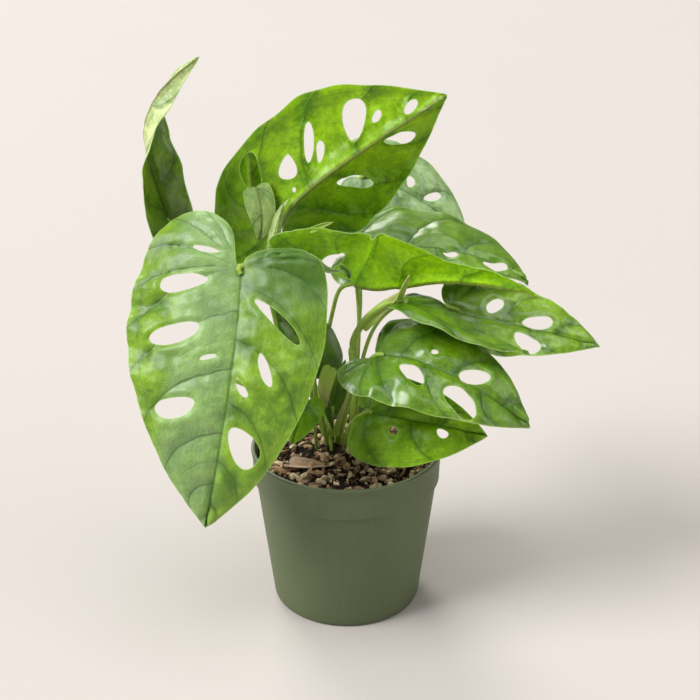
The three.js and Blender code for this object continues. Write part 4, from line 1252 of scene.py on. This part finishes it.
class VINE_OT_stalks(Operator):
    """Build the leaf stalks, the sheaths and the small loose lobes"""
    bl_idname = "swiss_vine.stalks"
    bl_label = "Leaf Stalks"

    def execute(self, context):
        settings = context.scene.swiss_vine
        leaf_look, stem = settings.leaf, settings.stem
        green = stalk_finish("leaf_stalk", stem.colour, stem.knot)
        sheaths = {
            "fresh": dry_finish("fresh_sheath", stem.fresh_sheath, None),
            "tan": dry_finish("tan_sheath", stem.sheath, stem.colour),
            "lobe": leaf_finish("loose_lobe", stem.lobe, underside=True, rim=leaf_look.rim,
                                gloss=0.4, sheen=0.4),
            # The curled edge wears the painted sheen green too.
            "bluish": leaf_finish("curled_edge", leaf_look.painted_sheen_green, underside=True,
                                  rim=leaf_look.rim, gloss=0.35, sheen=0.5),
            "bulb": leaf_finish("bulb", leaf_look.deep, underside=False, rim=leaf_look.rim,
                                gloss=0.3, sheen=0.5),
        }
        for name, spec in LEAVES.items():
            leaf = Leaf(**spec)
            end = leaf.bend(np.array([0.0]), np.array([4.0]), np.array([1]))[0]
            run = rooted(spec["stalk"]) if spec.get("rooted", True) else spec["stalk"]
            course = through([*run, tuple(end - 0.9 * leaf.face[0])], np.linspace(0, 1, 400))
            path = evenly(course, 70)
            share = np.linspace(0, 1, len(path))
            first, last = spec["radii"]
            radii = first + (last - first) * share
            radii += 0.22 * first * np.exp(-((share - 0.95) / 0.035) ** 2)
            points, faces, uvs = tube(path, radii, 14, grooved)
            made = new_object(f"{name}_stalk", points, faces, [green], None, {"run": uvs})
            stands_for(made, name)
        for name, spec in {**LEAVES, "vine_stem": VINE}.items():
            for number, flap in enumerate(spec.get("flaps", ())):
                made = blade(f"{name}_sheath_{number}", Leaf.scale(**flap), [], leaf_look,
                             [sheaths[flap["looks"]]] * 3, 5 + number)
                stands_for(made, name)
        return {"FINISHED"}


class VINE_OT_vine(Operator):
    """Build the main stem with its leaf scars"""
    bl_idname = "swiss_vine.vine"
    bl_label = "Main Stem"

    def execute(self, context):
        stem = context.scene.swiss_vine.stem
        path = evenly(through(rooted(VINE["path"]), np.linspace(0, 1, 400)), 110)
        share = np.linspace(0, 1, len(path))
        foot, tip = VINE["radii"]
        radii = foot + (tip - foot) * share
        for at in VINE["knots"]:
            radii += 0.5 * np.exp(-((share - at) / 0.03) ** 2)
            radii -= 0.25 * np.exp(-((share - at - 0.03) / 0.006) ** 2)
        points, faces, uvs = tube(path, radii, 20)
        finish = stalk_finish("main_stem", stem.colour, stem.knot)
        made = new_object("main_stem", points, faces, [finish], None, {"run": uvs})
        stands_for(made, "vine_stem")
        return {"FINISHED"}


class VINE_OT_scrap(Operator):
    """Build the dried scrap of leaf that lies on the soil"""
    bl_idname = "swiss_vine.scrap"
    bl_label = "Dried Scrap"

    def execute(self, context):
        settings = context.scene.swiss_vine
        finish = dry_finish("dried_leaf", settings.stem.dry, None)
        made = blade("dried_scrap", Leaf.scale(**SCRAP), [], settings.leaf, [finish] * 3, 9)
        stands_for(made, "dried_leaf_scrap")
        return {"FINISHED"}


def soft_sun(name, source, angle, strength, colour):
    """Wide distant lamp that shines from a direction; angle in degrees is how wide it looks."""
    data = bpy.data.lights.new(name, "SUN")
    data.angle, data.energy, data.color = math.radians(angle), strength, colour
    lamp = bpy.data.objects.new(name, data)
    lamp.rotation_euler = Vector(source).to_track_quat("Z", "Y").to_euler()
    bpy.context.scene.collection.objects.link(lamp)


class VINE_OT_stage(Operator):
    """Set up the camera, the pale floor and the soft lights"""
    bl_idname = "swiss_vine.stage"
    bl_label = "Studio"

    def execute(self, context):
        studio = context.scene.swiss_vine.studio
        data = bpy.data.cameras.new("camera")
        data.sensor_width, data.sensor_fit = 36, "HORIZONTAL"
        data.lens = studio.focal / FRAME_PIXELS * data.sensor_width
        data.clip_start = 0.01
        camera = bpy.data.objects.new("camera", data)
        camera.location = studio.camera
        camera.rotation_euler = (math.pi / 2 - studio.pitch, 0, 0)
        context.scene.collection.objects.link(camera)
        context.scene.camera = camera

        mesh = bpy.data.meshes.new("floor")
        reach = 40
        mesh.from_pydata([(-reach, -reach, 0), (reach, -reach, 0), (reach, reach, 0),
                          (-reach, reach, 0)], [], [(0, 1, 2, 3)])
        finish = Finish("floor")
        cloud = finish.noise(finish.place(), 3, 3)
        body = finish.mix(cloud, [c * 0.97 for c in studio.floor], studio.floor)
        mesh.materials.append(finish.surface(base_color=body, roughness=0.8))
        floor = bpy.data.objects.new("floor", mesh)
        context.scene.collection.objects.link(floor)

        world = bpy.data.worlds.new("surroundings")
        world.use_nodes = True
        background = world.node_tree.nodes["Background"]
        background.inputs["Color"].default_value = (0.93, 0.96, 1, 1)
        background.inputs["Strength"].default_value = studio.sky
        context.scene.world = world
        context.scene.view_settings.view_transform = "Standard"

        soft_sun("upper_left", (-0.66, -0.27, 0.68), 30, 3.35, (0.98, 0.99, 1))
        soft_sun("overhead", (0.12, -0.12, 0.98), 44, 1.2, (0.98, 0.99, 1))
        soft_sun("window", (-0.3, 0.8, 0.5), 30, 1.8, (1, 0.98, 0.93))
        soft_sun("right_fill", (0.85, -0.3, 0.45), 40, 0.7, (1, 0.98, 0.95))
        return {"FINISHED"}


class VINE_PT_panel(Panel):
    """Buttons for the parts of the plant"""
    bl_idname = "VINE_PT_panel"
    bl_label = "Swiss Cheese Vine"
    bl_space_type = "VIEW_3D"
    bl_region_type = "UI"
    bl_category = "Swiss Vine"

    def draw(self, context):
        for build in BUILDERS:
            self.layout.operator(build.bl_idname)


BUILDERS = (VINE_OT_stage, VINE_OT_pot, VINE_OT_soil, VINE_OT_grains, VINE_OT_vine,
            VINE_OT_stalks, VINE_OT_blades, VINE_OT_scrap)
CLASSES = (PotSettings, SoilSettings, LeafSettings, StemSettings, StudioSettings, VineSettings,
           *BUILDERS, VINE_PT_panel)


def register():
    for cls in CLASSES:
        bpy.utils.register_class(cls)
    bpy.types.Scene.swiss_vine = PointerProperty(type=VineSettings)


def unregister():
    del bpy.types.Scene.swiss_vine
    for cls in reversed(CLASSES):
        bpy.utils.unregister_class(cls)


def main():
    register()
    bpy.ops.swiss_vine.stage()
    bpy.ops.swiss_vine.pot()
    bpy.ops.swiss_vine.soil()
    bpy.ops.swiss_vine.grains()
    bpy.ops.swiss_vine.vine()
    bpy.ops.swiss_vine.stalks()
    bpy.ops.swiss_vine.blades()
    bpy.ops.swiss_vine.scrap()


if __name__ == "__main__":
    main()
